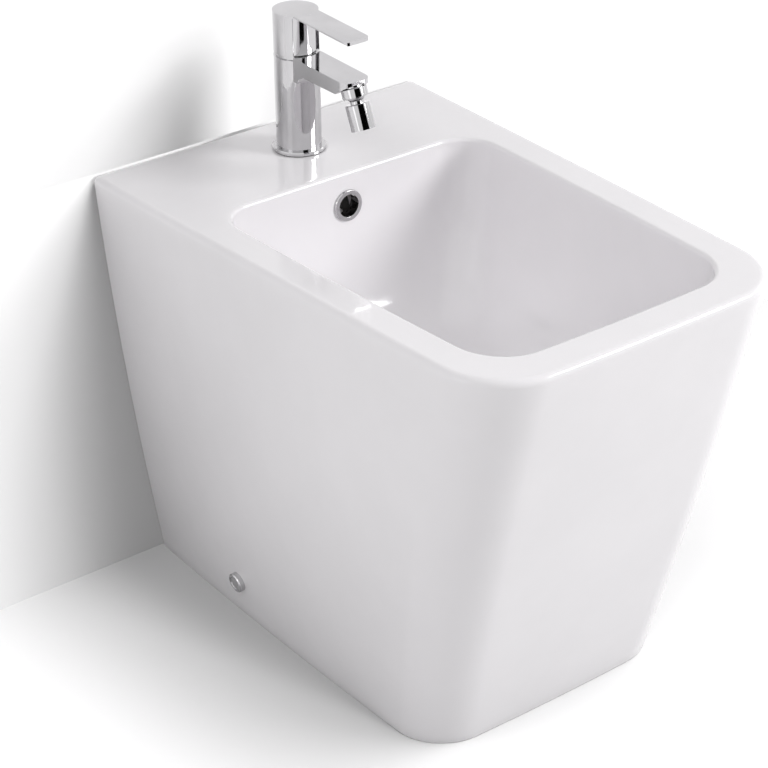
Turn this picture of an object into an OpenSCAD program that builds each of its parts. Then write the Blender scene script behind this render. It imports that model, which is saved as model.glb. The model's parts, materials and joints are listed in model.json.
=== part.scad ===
// Floor standing bidet with a deck mixer tap, click waste, bottle trap and side fixings.
// Origin: on the floor, in the middle of the plan. +Z is up, +Y is towards the wall, the user sits facing -Y.

/* [Ceramic body] */
// Width of the rim at the wall
body_w = 360; // [340:1:380]
// Depth from the wall face to the front of the rim
body_d = 530; // [510:1:550]
// Height of the rim above the floor
body_h = 405; // [395:1:425]
// Width of the foot at the wall
foot_w = 262; // [245:1:275]
// Depth from the wall face to the front of the foot
foot_d = 427; // [410:1:440]
// Thickness of the fired clay
wall = 11; // [9:0.5:12]
// Thickness of the deck that carries the tap
deck_t = 14; // [12:0.5:16]
// Radius of the front corners of the rim, seen from above
rim_corner_r = 64; // [50:1:72]
// Radius of the front corners of the foot, seen from above
foot_corner_r = 46; // [36:1:56]
// Radius of the upright corners at the wall
back_corner_r = 6; // [4:0.5:9]
// How far the sides swell outwards between foot and rim, as a share of the flare
side_swell = 0.38; // [0.1:0.02:0.6]
// How much narrower the rim is at the front than at the wall, as a share
rim_taper = 0.11; // [0.05:0.01:0.15]
// How much narrower the foot is at the front than at the wall, as a share
foot_taper = -0.035; // [-0.05:0.005:0.02]
// Sideways bulge of the rim between front and wall, as a share
rim_bulge = 0.01; // [0:0.005:0.03]
// Sideways bulge of the foot between front and wall, as a share
foot_bulge = 0.028; // [0:0.002:0.04]
// Bow of every front edge
front_bow = 3; // [1:0.5:5]
// Radius of the rounded outer edge of the rim
rim_edge_r = 7; // [4:0.5:9]

/* [Bowl] */
// Width of the bowl's mouth at its back
bowl_w = 279; // [262:1:290]
// Depth of the deck between the wall face and the bowl
deck_d = 136; // [128:1:142]
// Width of the rim in front of the bowl
rim_front_w = 38; // [32:1:46]
// Radius of the rear corners of the bowl's mouth
bowl_back_r = 35; // [24:1:44]
// Radius of the front corners of the bowl's mouth
bowl_front_r = 42; // [32:1:52]
// How much narrower the mouth is at the front, as a share
bowl_taper = 0.098; // [0.06:0.002:0.14]
// Sideways bulge of the mouth, as a share
bowl_bulge = 0.016; // [0:0.002:0.03]
// Radius of the rounded edge of the mouth
bowl_edge_r = 4; // [2:0.5:6]
// Depth of the bowl from the rim to the waste
bowl_depth = 155; // [140:1:165]
// Squareness of the bowl's side profile, 2 is a plain ellipse
bowl_power = 2.7; // [2.2:0.1:3.4]
// Radius of the level seat round the waste
waste_seat_r = 37; // [35:0.5:40]
// Distance from the wall face to the middle of the waste
waste_back = 275; // [262:1:290]
// Radius of the waste hole through the clay
waste_hole_r = 23; // [22.5:0.1:24]
// Height of the boss under the waste seat, seat to underside
waste_boss_h = 26; // [22:0.5:30]

/* [Overflow] */
// Depth of the overflow hole below the rim
overflow_drop = 32; // [28:1:40]
// Radius of the overflow hole through the clay
overflow_hole_r = 12; // [10:0.25:13]
// Radius of the overflow ring's flange
overflow_ring_r = 15; // [14:0.25:17]
// Radius of the opening in the overflow ring
overflow_open_r = 10.5; // [8.5:0.25:11]
// Radius of the overflow duct inside the clay
duct_r = 6; // [4:0.25:7]
// Outer radius of the overflow duct
duct_out_r = 12; // [11:0.5:14]

/* [Back opening] */
// Width of the opening for the pipes in the wall side of the skirt
back_open_w = 190; // [160:1:200]
// Height of that opening above the floor
back_open_h = 300; // [240:1:320]
// Radius of its upper corners
back_open_r = 30; // [15:1:40]

/* [Side fixings] */
// Height of the fixing holes above the floor
fix_z = 38; // [32:1:50]
// Distance of the fixing holes from the wall face
fix_back = 148; // [120:1:180]
// Radius of the fixing hole through the clay
fix_hole_r = 5.5; // [5:0.1:6.5]
// Radius of the fixing screw's thread
fix_screw_r = 3; // [2.5:0.1:3.5]
// Length of the fixing screw under its head
fix_screw_len = 28; // [24:1:34]
// Radius of the cover cap
cap_r = 9.6; // [9.2:0.1:11]
// Height of the cover cap
cap_h = 5.2; // [4.8:0.1:7]
// Thickness of the bracket's sheet
bracket_t = 4; // [3:0.5:5]
// Length of the bracket along the skirt
bracket_len = 62; // [56:1:80]
// Width of the bracket's foot
bracket_foot = 44; // [36:1:60]
// Radius of the floor screw holes in the bracket
bracket_hole_r = 4; // [3:0.1:5]
// Spacing of the two floor screw holes
bracket_pitch = 40; // [34:1:44]

/* [Tap] */
// Distance from the wall face to the tap's axis
tap_back = 65; // [60:1:70]
// Radius of the tap hole through the deck
tap_hole_r = 17.5; // [16:0.25:18]
// Radius of the tap's body
tap_r = 20.5; // [20:0.1:22]
// Radius of the base ring
base_ring_r = 24.5; // [23:0.25:27]
// Height of the base ring's top above the deck
base_ring_h = 4; // [3:0.25:6]
// Thickness of the rubber under the base ring
gasket_t = 1; // [0.6:0.1:1.5]
// Height of the body's top above the deck
joint_h = 90; // [86:0.5:98]
// Height of the recessed ring between body and handle
joint_ring_h = 3.5; // [2.5:0.25:5]
// Radius of the recessed ring
joint_ring_r = 18.7; // [18.2:0.1:19]
// Radius of the bore that holds the cartridge
cart_bore_r = 17.8; // [17.7:0.05:18.2]
// Depth of that bore below the body's top
cart_bore_depth = 23; // [22.5:0.25:24]
// Radius of the two threaded water inlets in the base
inlet_r = 4.5; // [4:0.1:5]
// Depth of the threaded inlets
inlet_depth = 12; // [10:0.5:16]
// Outer radius of the threaded bushes that are soldered into the base as inlets
bush_r = 6.2; // [6:0.1:6.4]
// Height of the water chamber above each bush
chamber_h = 9; // [6:1:16]
// Half the spacing of the inlets
inlet_x = 7.5; // [7:0.25:8]
// How far the inlets lie in front of the tap's axis
inlet_front = 4; // [3:0.25:5]

/* [Spout] */
// Width of the spout
spout_w = 29; // [26:0.5:32]
// Reach of the spout from the tap's axis
spout_reach = 90.5; // [85:0.5:110]
// Height of the spout's top above the deck, at the body
spout_top = 93.4; // [92.4:0.1:93.6]
// Fall of the spout's top from body to tip
spout_fall = 2; // [1:0.25:3]
// Height of the spout's underside
spout_under = 78.7; // [76:0.1:80]
// Radius of the tip's corners, seen from above
spout_corner_r = 8.5; // [4:0.5:11]
// Radius of the fillet under the root
spout_fillet_r = 8; // [4:0.5:12]
// Length of the chamfer under the tip, seen from above
chamfer_len = 14.5; // [12:0.5:16]
// Height of the spout's front face above that chamfer
tip_face_h = 2.9; // [2.2:0.1:4]

/* [Nozzle] */
// Tilt of the nozzle from upright
outlet_tilt = 22; // [15:1:25]
// Distance from the spout's tip back to the ball's centre
ball_back = 5.5; // [5:0.1:7]
// How far the ball's centre lies below the spout's underside
ball_below = 0.2; // [0:0.1:1]
// Radius of the collar that holds the ball
collar_r = 11.6; // [11.4:0.1:12.5]
// Length of that collar above the ball's centre
collar_up = 5.2; // [5:0.1:6]
// Radius of the ball
ball_r = 8.6; // [8.4:0.05:8.7]
// Radius of the nozzle
nozzle_r = 11; // [10:0.1:12]
// Length of the nozzle
nozzle_len = 23; // [20:0.5:28]
// Distance from the ball's centre to the nozzle's top
nozzle_drop = 8.6; // [8.2:0.1:10]

/* [Handle] */
// Radius of the handle
handle_r = 20.5; // [20.3:0.1:21.5]
// Radius of the core that shows in the front recess
core_r = 18.5; // [17.8:0.1:18.6]
// Height of the handle's top above the deck
handle_top = 131.5; // [128:0.5:140]
// Width of the lever
lever_w = 26.6; // [22:0.2:28]
// Reach of the lever from the tap's axis
lever_reach = 91; // [80:1:105]
// Thickness of the lever's side edges, above the bevel of its underside
lever_edge_t = 1.4; // [1:0.1:1.8]
// Width of that bevel
lever_bevel_w = 4.5; // [2:0.25:6]
// Thickness of the lever at its root
lever_t = 4.4; // [3.5:0.1:6]
// Thickness of the lever at its tip
lever_tip_t = 3; // [2:0.1:3.4]
// Fall of the lever's top from root to tip
lever_fall = 2.5; // [0:0.25:4]
// Radius of the lever's corners, seen from above
lever_corner_r = 5; // [3:0.5:8]
// Width of the recess in the handle's front
recess_w = 28.6; // [26:0.2:30]
// How far the lever lifts to open the water
lift_deg = 22; // [15:1:22]
// Height of the lift pivot above the deck
pivot_h = 93; // [92.6:0.1:93.4]

/* [Waste] */
// Radius of the waste's flange
flange_r = 32; // [30:0.5:34]
// Outer radius of the threaded tail
tail_r = 20.5; // [20:0.1:21]
// Wall of the tail
tail_wall = 2; // [1.5:0.1:2.5]
// Length of the tail below the waste seat
tail_len = 62; // [56:1:70]
// Radius of the plug
plug_r = 22; // [21.5:0.1:22.2]

/* [Trap] */
// Radius of the trap's bottle
bottle_r = 31; // [28:0.5:36]
// Fall from the end of the waste's tail to the middle of the outlet
outlet_drop = 60; // [56:1:66]
// Radius of the outlet pipe
outlet_r = 16; // [15:0.5:17]
// Fall from the middle of the outlet to the underside of the trap's cup
cup_drop = 73; // [68:1:84]
// Length of the outlet pipe's end that a socket in the wall takes
wall_socket_len = 60; // [40:1:80]

/* [Hidden] */

// Clearances
run_gap = 0.05;    // radial clearance of a pin or stem that turns or slides in its bore
free_gap = 0.3;    // gap between pieces that move past each other
seat_gap = 0.2;    // gap round a piece that is dropped into a pocket
eps = 0.01;        // overshoot of a cut past the face that it opens
far = 100;         // length that reaches past the tap in every direction

// Resolution of the ceramic surface
corner_n = 7;      // steps round each corner
side_n = 6;        // steps along each side
front_n = 4;       // steps along the front
half_back_n = 2;   // steps along each half of the back
ring_n = 4 * (corner_n + 1) + 2 * (side_n - 1) + front_n - 1 + 2 * half_back_n - 1;
round_fn = 96;     // facets of a true round in preview

// Places shared by several pieces
wall_y = body_d / 2;
rim_front_y = -wall_y + front_bow;
foot_front_y = wall_y - foot_d + front_bow;
bowl_back_y = wall_y - deck_d;
bowl_front_y = rim_front_y + rim_front_w;
seat_z = body_h - bowl_depth;
waste_y = wall_y - waste_back;
tap_y = wall_y - tap_back;
fix_y = wall_y - fix_back;
overflow_z = body_h - overflow_drop;
duct_y = bowl_back_y + wall + duct_r;
duct_z = seat_z - duct_out_r;
boss_r = waste_hole_r + wall;

// ---------------------------------------------------------------- ceramic surface

function mix(a, b, t) = a + (b - a) * t;

// Quarter turn of a corner, anticlockwise from angle a0
function quarter(c, r, a0) = [for (i = [0:corner_n]) let (a = a0 + 90 * i / corner_n) c + r * [cos(a), sin(a)]];

// Points between p and q, without the ends
function between(p, q, n) = n < 2 ? [] : [for (i = [1:n - 1]) p + (q - p) * i / n];

// Rounded rectangle s = [half width, back, front, back radius, front radius, taper, bulge, bow],
// anticlockwise from the middle of the back
function rectangle(s) =
    let (
        w = s[0],
        back_left = [-w, s[1] - s[3]],
        front_left = [-w, s[2] + s[4]]
    )
    concat(
        [[0, s[1]]],
        between([0, s[1]], [-w + s[3], s[1]], half_back_n),
        quarter([-w + s[3], s[1] - s[3]], s[3], 90),
        between(back_left, front_left, side_n),
        quarter([-w + s[4], s[2] + s[4]], s[4], 180),
        between([-w + s[4], s[2]], [w - s[4], s[2]], front_n),
        quarter([w - s[4], s[2] + s[4]], s[4], 270),
        between([w, s[2] + s[4]], [w, s[1] - s[3]], side_n),
        quarter([w - s[3], s[1] - s[3]], s[3], 0),
        between([w - s[3], s[1]], [0, s[1]], half_back_n)
    );

// Narrows a point towards the front, bulges the sides and bows the front
function bent(p, s) =
    let (
        u = (2 * p[1] - s[1] - s[2]) / (s[1] - s[2]),
        v = p[0] / s[0]
    )
    [
        p[0] * (1 - s[5] * (1 - u) / 2 + s[6] * (1 - u * u)),
        p[1] - s[7] * (1 - v * v) * max(0, (1 - u) / 2)
    ];

function outline(s) = [for (p = rectangle(s)) bent(p, s)];

// Section of the skirt at height z, drawn in by e
function skirt(z, e) =
    let (
        t = z / body_h,
        side = t + side_swell * t * (1 - t)
    )
    [
        mix(foot_w, body_w, side) / 2 - e,
        wall_y - e,
        mix(foot_front_y, rim_front_y, t) + e,
        max(back_corner_r - e, 2),
        mix(foot_corner_r, rim_corner_r, t) - e,
        mix(foot_taper, rim_taper, t),
        mix(foot_bulge, rim_bulge, t),
        front_bow
    ];

// Outline of the bowl's mouth, let out by e
function mouth(e) =
    [
        bowl_w / 2 + e, bowl_back_y + e, bowl_front_y - e,
        bowl_back_r + e, bowl_front_r + e, bowl_taper, bowl_bulge, front_bow
    ];

// Circle round the waste with as many points as an outline
function waste_circle(r) = [for (i = [0:ring_n - 1]) let (a = 90 + 360 * i / ring_n) [r * cos(a), waste_y + r * sin(a)]];

function lift(pts, z) = [for (p = pts) [p[0], p[1], z]];

// Ring of the bowl at angle a of its side profile: 0 at the mouth, 90 at the waste seat
function bowl_ring(a, e, top, depth, r) =
    let (
        k = 2 / bowl_power,
        b = 1 - pow(cos(a), k),
        m = outline(mouth(e)),
        c = waste_circle(r)
    )
    lift([for (i = [0:ring_n - 1]) mix(m[i], c[i], b)], top - depth * pow(sin(a), k));

// Place of the bowl's rear wall at height z, in the middle
function bowl_back(z) =
    let (
        k = 2 / bowl_power,
        sin_a = pow((body_h - bowl_edge_r - z) / (bowl_depth - bowl_edge_r), 1 / k)
    )
    mix(bowl_back_y, waste_y + waste_seat_r, 1 - pow(1 - sin_a * sin_a, k / 2));

function skirt_ring(z, e) = lift(outline(skirt(z, e)), z);

// Half width of the skirt's outside at height z and place y
function skirt_half(z, y) = let (s = skirt(z, 0)) bent([s[0], y], s)[0];

bowl_steps = 11;
under_steps = 7;
skirt_steps = 8;
inner_steps = 5;
edge_steps = 4;
lip_steps = 3;

// All rings from the waste seat up the bowl, over the rim, down the skirt, and back up inside to the boss
ceramic_rings = concat(
    [for (i = [0:bowl_steps]) bowl_ring(90 - 90 * i / bowl_steps, 0, body_h - bowl_edge_r,
        bowl_depth - bowl_edge_r, waste_seat_r)],
    [for (i = [1:lip_steps]) let (a = 90 * i / lip_steps)
        lift(outline(mouth(bowl_edge_r * (1 - cos(a)))), body_h - bowl_edge_r * (1 - sin(a)))],
    [for (i = [0:edge_steps]) let (a = 90 - 90 * i / edge_steps, z = body_h - rim_edge_r * (1 - sin(a)))
        skirt_ring(z, rim_edge_r * (1 - cos(a)))],
    [for (i = [1:skirt_steps]) skirt_ring((body_h - rim_edge_r) * (1 - i / skirt_steps), 0)],
    [for (i = [0:inner_steps]) skirt_ring((body_h - deck_t) * i / inner_steps, wall)],
    [for (i = [0:under_steps - 1]) bowl_ring(90 * i / under_steps, wall, body_h - deck_t,
        bowl_depth - deck_t + wall, boss_r + wall)],
    [lift(waste_circle(boss_r + wall / 4), seat_z - wall - eps)],
    [lift(waste_circle(boss_r), seat_z - waste_boss_h)]
);

// Closed solid through a list of rings with equal numbers of points
module loft(rings) {
    n = len(rings[0]);
    last = len(rings) - 1;
    faces = concat(
        [[for (j = [n - 1:-1:0]) j]],
        [for (k = [0:last - 1]) for (j = [0:n - 1])
            let (a = k * n + j, b = k * n + (j + 1) % n) each [[a, b, b + n], [a, b + n, a + n]]],
        [[for (j = [0:n - 1]) last * n + j]]
    );
    polyhedron(points = [for (r = rings) each r], faces = faces, convexity = 8);
}

// Upright cylinder with its axis along Y
module along_y(r, y0, y1) {
    translate([0, y0, 0])
        rotate([-90, 0, 0])
            cylinder(r = r, h = y1 - y0, $fn = round_fn);
}

module ring(r_out, r_in, h) {
    difference() {
        cylinder(r = r_out, h = h, $fn = round_fn);
        translate([0, 0, -eps]) cylinder(r = r_in, h = h + 2 * eps, $fn = round_fn);
    }
}

// Opening in the wall side, with round upper corners
module back_opening() {
    w = back_open_w / 2;
    r = back_open_r;
    h = back_open_h;
    translate([0, wall_y + wall, 0])
        rotate([90, 0, 0])
            linear_extrude(3 * wall)
                union() {
                    translate([-w, -wall]) square([2 * w, h + wall - r]);
                    translate([-w + r, -wall]) square([2 * (w - r), h + wall]);
                    translate([-w + r, h - r]) circle(r = r, $fn = round_fn);
                    translate([w - r, h - r]) circle(r = r, $fn = round_fn);
                }
}

// Clay duct that leads the overflow down behind the bowl and forward to the waste
module duct(r, top, front) {
    translate([0, duct_y, duct_z]) cylinder(r = r, h = top - duct_z, $fn = round_fn);
    translate([0, duct_y, duct_z]) sphere(r = r, $fn = round_fn);
    translate([0, 0, duct_z]) along_y(r, front, duct_y);
}

module ceramic_body() color("white")
    difference() {
        union() {
            loft(ceramic_rings);
            duct(duct_out_r, body_h - deck_t / 2, waste_y + boss_r / 2);
        }
        duct(duct_r, overflow_z, waste_y);
        translate([0, 0, overflow_z]) along_y(overflow_hole_r, bowl_back_y - wall, duct_y);
        translate([0, tap_y, body_h - 2 * deck_t]) cylinder(r = tap_hole_r, h = 3 * deck_t, $fn = round_fn);
        translate([0, waste_y, seat_z - 2 * waste_boss_h])
            cylinder(r = waste_hole_r, h = 3 * waste_boss_h, $fn = round_fn);
        for (side = [-1, 1])
            at_fixing(side) translate([0, 0, -2 * wall]) cylinder(r = fix_hole_r, h = 3 * wall, $fn = round_fn);
        back_opening();
    }

// ---------------------------------------------------------------- overflow

overflow_flange_t = 1.6;
overflow_tube_wall = 0.8;
overflow_tube_len = 9;
overflow_gap = 0.7;
overflow_lean = atan((bowl_back(overflow_z + overflow_ring_r) - bowl_back(overflow_z - overflow_ring_r))
    / (2 * overflow_ring_r));

module overflow_ring() color("silver")
    translate([0, bowl_back(overflow_z) - overflow_gap, overflow_z])
        rotate([90 - overflow_lean, 0, 0])
            difference() {
                union() {
                    cylinder(r1 = overflow_ring_r, r2 = overflow_ring_r - overflow_flange_t / 2,
                        h = overflow_flange_t, $fn = round_fn);
                    translate([0, 0, -overflow_tube_len])
                        cylinder(r = overflow_open_r + overflow_tube_wall, h = overflow_tube_len + eps, $fn = round_fn);
                }
                translate([0, 0, -overflow_tube_len - eps])
                    cylinder(r = overflow_open_r, h = overflow_tube_len + overflow_flange_t + 2 * eps, $fn = round_fn);
            }

// ---------------------------------------------------------------- side fixings

fix_x = skirt_half(fix_z, fix_y);
wall_lean = atan((skirt_half(fix_z + 5, fix_y) - skirt_half(fix_z - 5, fix_y)) / 10);

wall_turn = atan((skirt_half(fix_z, fix_y + 5) - skirt_half(fix_z, fix_y - 5)) / 10);

// Mirrors children, drawn on the left, for the right side
module on_side(side) {
    mirror([side > 0 ? 1 : 0, 0, 0]) children();
}

// Places children at a fixing hole: z = 0 is the skirt's outside, +z points out of it, +x upwards
module at_fixing(side) {
    on_side(side)
        translate([-fix_x, fix_y, fix_z])
            rotate([0, -90 - wall_lean, wall_turn])
                children();
}

sleeve_r = fix_hole_r - seat_gap;
sleeve_flange_r = cap_r - 1.2;
sleeve_flange_t = 1.2;
skirt_gap = 0.05;
ear_gap = 1;
ear_back = -wall - ear_gap;

module fixing_sleeves() color("whitesmoke")
    for (side = [-1, 1])
        at_fixing(side)
            difference() {
                union() {
                    translate([0, 0, skirt_gap]) cylinder(r = sleeve_flange_r, h = sleeve_flange_t, $fn = round_fn);
                    translate([0, 0, -wall]) cylinder(r = sleeve_r, h = wall + skirt_gap + eps, $fn = round_fn);
                }
                translate([0, 0, -wall - eps])
                    cylinder(r = fix_screw_r, h = wall + sleeve_flange_t + 1, $fn = round_fn);
            }

screw_head_r = 5.2;
screw_head_t = 2.6;
screw_slot = 1.2;

module fixing_screws() color("silver")
    for (side = [-1, 1])
        at_fixing(side)
            translate([0, 0, skirt_gap + sleeve_flange_t])
                difference() {
                    union() {
                        cylinder(r = screw_head_r, h = screw_head_t, $fn = round_fn);
                        translate([0, 0, -fix_screw_len])
                            cylinder(r = fix_screw_r, h = fix_screw_len + eps, $fn = round_fn);
                    }
                    translate([-screw_head_r, -screw_slot / 2, screw_head_t - screw_slot])
                        cube([2 * screw_head_r, screw_slot, screw_slot + eps]);
                }

cap_wall = 1;
cap_rim_w = 1.6;
cap_dish = 0.7;

module cover_cap(side) color("silver")
    at_fixing(side)
        difference() {
            translate([0, 0, skirt_gap])
                union() {
                    cylinder(r = cap_r, h = cap_h - cap_wall, $fn = round_fn);
                    translate([0, 0, cap_h - cap_wall - eps])
                        cylinder(r1 = cap_r, r2 = cap_r - cap_wall, h = cap_wall + eps, $fn = round_fn);
                }
            translate([0, 0, skirt_gap - eps])
                cylinder(r = sleeve_flange_r, h = sleeve_flange_t + screw_head_t + 2 * eps, $fn = round_fn);
            translate([0, 0, skirt_gap + cap_h - cap_dish])
                cylinder(r = cap_r - cap_wall - cap_rim_w, h = cap_dish + 1, $fn = round_fn);
        }

module cover_cap_left() cover_cap(-1);
module cover_cap_right() cover_cap(1);

ear_len = 34;
ear_up = 15;
ear_boss_r = 7;
ear_boss_t = 8;

// Angle bracket that is screwed to the floor and takes the side screw in its leaning ear
module bracket(side) color("silver") {
    foot_out = fix_x - wall - bracket_t - fix_z * tan(wall_lean) - 2 * free_gap;
    difference() {
        union() {
            on_side(side)
                translate([-foot_out, fix_y - bracket_len / 2, 0])
                    cube([bracket_foot, bracket_len, bracket_t]);
            intersection() {
                at_fixing(side)
                    translate([-2 * fix_z, -ear_len / 2, ear_back - bracket_t])
                        cube([2 * fix_z + ear_up, ear_len, bracket_t]);
                translate([-body_w / 2, fix_y - bracket_len / 2, 0])
                    cube([body_w, bracket_len, 2 * fix_z]);
            }
            at_fixing(side)
                translate([0, 0, ear_back - bracket_t - ear_boss_t])
                    cylinder(r = ear_boss_r, h = ear_boss_t + eps, $fn = round_fn);
        }
        at_fixing(side)
            translate([0, 0, ear_back - bracket_t - ear_boss_t - 1])
                cylinder(r = fix_screw_r, h = bracket_t + ear_boss_t + 2, $fn = round_fn);
        for (k = [-1, 1])
            on_side(side)
                translate([-foot_out + bracket_foot / 2, fix_y + k * bracket_pitch / 2, -eps])
                    cylinder(r = bracket_hole_r, h = bracket_t + 2 * eps, $fn = round_fn);
    }
}

module bracket_left() bracket(-1);
module bracket_right() bracket(1);

// ---------------------------------------------------------------- tap, seats and body

module at_tap() {
    translate([0, tap_y, body_h]) children();
}

// Extrudes a side profile, drawn as reach and height, across a width centred on the axis
module across(w) {
    translate([w / 2, 0, 0])
        rotate([0, 0, -90])
            rotate([90, 0, 0])
                linear_extrude(w)
                    children();
}

// Outline of a bar seen from above, from the axis to its reach, with round tip corners
module bar_plan(w, reach, r) {
    translate([-w / 2, -reach + r]) square([w, reach - r]);
    translate([-w / 2 + r, -reach]) square([w - 2 * r, reach]);
    for (k = [-1, 1])
        translate([k * (w / 2 - r), -reach + r]) circle(r = r, $fn = round_fn);
}

cart_z = joint_h - cart_bore_depth;
spigot_r = tap_hole_r - seat_gap;
chamfer_d = spout_reach - chamfer_len;
inlet_y = -inlet_front;
stud_y = 8;
stud_r = 4;
stud_in_body = 11;
bush_shoulder = 0.5;
water_r = 3.2;
out_port_y = 7.5;
out_port_r = 3.6;
riser_r = 3;
riser_y = -16.4;
under_way_r = 2.6;
under_way_h = cart_z - 4;
outlet_way_r = 4;
outlet_way_h = spout_under + 6.8;
collar_down = 3;
collar_thread_r = 8;
collar_thread_len = 3.6;
spout_min_top = spout_top - spout_fall;
ball_d = spout_reach - ball_back;
ball_h = spout_under - ball_below;

// Places children at the ball's centre with +z along the nozzle, downwards and forwards
module at_ball() {
    at_tap()
        translate([0, -ball_d, ball_h])
            rotate([180 - outlet_tilt, 0, 0])
                children();
}

fillet_steps = 6;

module spout_solid() {
    tip_h = spout_min_top - tip_face_h;
    past = spout_reach + chamfer_len;
    intersection() {
        linear_extrude(far) bar_plan(spout_w, spout_reach, spout_corner_r);
        across(spout_w)
            polygon(concat(
                [[0, spout_under - spout_fillet_r], [tap_r, spout_under - spout_fillet_r]],
                [for (i = [1:fillet_steps]) let (a = 180 - 90 * i / fillet_steps)
                    [tap_r + spout_fillet_r * (1 + cos(a)), spout_under - spout_fillet_r * (1 - sin(a))]],
                [
                    [chamfer_d, spout_under],
                    [spout_reach, tip_h],
                    [past, tip_h],
                    [past, spout_min_top],
                    [spout_reach, spout_min_top],
                    [tap_r, spout_top],
                    [0, spout_top]
                ]
            ));
    }
}

module tap_body() color("gainsboro") {
    at_tap()
        difference() {
            union() {
                translate([0, 0, base_ring_h]) cylinder(r = tap_r, h = joint_h - base_ring_h, $fn = round_fn);
                translate([0, 0, gasket_t]) cylinder(r = spigot_r, h = base_ring_h, $fn = round_fn);
                spout_solid();
            }
            translate([0, 0, joint_h]) cylinder(r = handle_r + free_gap, h = far, $fn = round_fn);
            translate([0, 0, cart_z]) cylinder(r = cart_bore_r, h = far, $fn = round_fn);
            for (k = [-1, 1]) {
                translate([k * inlet_x, inlet_y, gasket_t - eps])
                    cylinder(r = bush_r, h = inlet_depth + eps, $fn = round_fn);
                translate([k * inlet_x, inlet_y, inlet_depth])
                    cylinder(r = bush_r - bush_shoulder, h = gasket_t + chamber_h, $fn = round_fn);
                translate([k * inlet_x, inlet_y, inlet_depth + chamber_h])
                    cylinder(r = water_r, h = cart_z - inlet_depth - chamber_h + 1, $fn = round_fn);
            }
            translate([0, stud_y, gasket_t - eps]) cylinder(r = stud_r, h = stud_in_body, $fn = round_fn);
            // way of the mixed water: down from the cartridge, forwards below it, up and out through the spout
            translate([0, out_port_y, under_way_h]) cylinder(r = out_port_r, h = cart_z - under_way_h + 1, $fn = round_fn);
            translate([0, 0, under_way_h]) along_y(under_way_r, riser_y, out_port_y);
            translate([0, riser_y, under_way_h]) cylinder(r = riser_r, h = outlet_way_h - under_way_h, $fn = round_fn);
            translate([0, 0, outlet_way_h]) along_y(outlet_way_r, -ball_d, riser_y + riser_r / 2);
            // thread for the outlet collar, and the round seat that its top lies against
            translate([0, -ball_d, ball_h])
                rotate([180 - outlet_tilt, 0, 0]) {
                    translate([0, 0, -collar_up - run_gap - collar_thread_len])
                        cylinder(r = collar_thread_r, h = collar_thread_len + collar_up, $fn = round_fn);
                    translate([0, 0, -collar_up - run_gap])
                        cylinder(r = collar_r + seat_gap, h = 2 * collar_up, $fn = round_fn);
                }
        }
}

// Threaded bushes for the two flexible hoses
module inlet_bushes() color("goldenrod")
    at_tap()
        for (k = [-1, 1])
            translate([k * inlet_x, inlet_y, gasket_t])
                ring(bush_r - run_gap, inlet_r, inlet_depth);

base_bevel = 1;
gasket_inset = 0.8;

module base_ring() color("gainsboro")
    at_tap()
        translate([0, 0, gasket_t])
            difference() {
                union() {
                    cylinder(r = base_ring_r, h = base_ring_h - gasket_t - base_bevel, $fn = round_fn);
                    translate([0, 0, base_ring_h - gasket_t - base_bevel - eps])
                        cylinder(r1 = base_ring_r, r2 = base_ring_r - base_bevel, h = base_bevel + eps, $fn = round_fn);
                }
                translate([0, 0, -eps]) cylinder(r = spigot_r, h = base_ring_h + 1, $fn = round_fn);
            }

module base_gasket() color("dimgray")
    at_tap() ring(base_ring_r - gasket_inset, tap_hole_r, gasket_t);

// ---------------------------------------------------------------- tap, cartridge

housing_r = cart_bore_r - free_gap;
housing_wall = 2;
housing_in_r = housing_r - housing_wall;
base_t = 3.5;
disc_t = 3;
fixed_z = cart_z + base_t;
moving_z = fixed_z + disc_t + run_gap;
moving_t = 2.85;
carrier_z = moving_z + moving_t;
carrier_t = 4.2;
turret_z = carrier_z + carrier_t + free_gap;
turret_flange_t = 2.5;
turret_neck_r = 11.2;
turret_top = pivot_h + 4;
housing_roof = 1.4;
housing_top = turret_z + turret_flange_t + free_gap + housing_roof;
neck_hole_r = turret_neck_r + free_gap;
carrier_r = 11;
carrier_off = 2.6;
ball_end_r = 2.6;
socket_floor = 1;
arm_len = pivot_h - carrier_z - socket_floor - free_gap - ball_end_r;
pin_r = 1.5;
stem_w = 8;
stem_up = 25;
stem_down = 7;
stem_top = pivot_h + stem_up;
stem_bottom = pivot_h - stem_down;
port_land = 0.5;
groove_gap = 0.1;
slot_gap = 1;
pin_inset = 0.8;
arm_r = 2.2;
pocket_r = 5.5;
pocket_tail_r = 4.5;
pocket_tail = 5.5;
seal_t = 0.9;
seal_w = 1.3;

module ports(z, h) {
    for (k = [-1, 1])
        translate([k * inlet_x, inlet_y, z]) cylinder(r = water_r, h = h, $fn = round_fn);
    translate([0, out_port_y, z]) cylinder(r = out_port_r, h = h, $fn = round_fn);
}

module seal_rings(z, h, gap) {
    for (k = [-1, 1])
        translate([k * inlet_x, inlet_y, z]) ring(water_r + seal_w + gap, water_r, h);
    translate([0, out_port_y, z]) ring(out_port_r + seal_w + gap, out_port_r, h);
}

// Place of the pocket in the closed position, just clear of both inlets
pocket_y = inlet_y + sqrt(pow(pocket_r + water_r + port_land, 2) - inlet_x * inlet_x);

module cartridge_seals() color("dimgray")
    at_tap() seal_rings(cart_z, seal_t, 0);

module cartridge_base() color("whitesmoke")
    at_tap()
        difference() {
            translate([0, 0, cart_z]) cylinder(r = housing_r, h = base_t, $fn = round_fn);
            ports(cart_z - eps, base_t + 2 * eps);
            seal_rings(cart_z - eps, seal_t + eps, groove_gap);
        }

module fixed_disc() color("ivory")
    at_tap()
        difference() {
            translate([0, 0, fixed_z]) cylinder(r = housing_in_r - seat_gap, h = disc_t, $fn = round_fn);
            ports(fixed_z - eps, disc_t + 2 * eps);
        }

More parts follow.
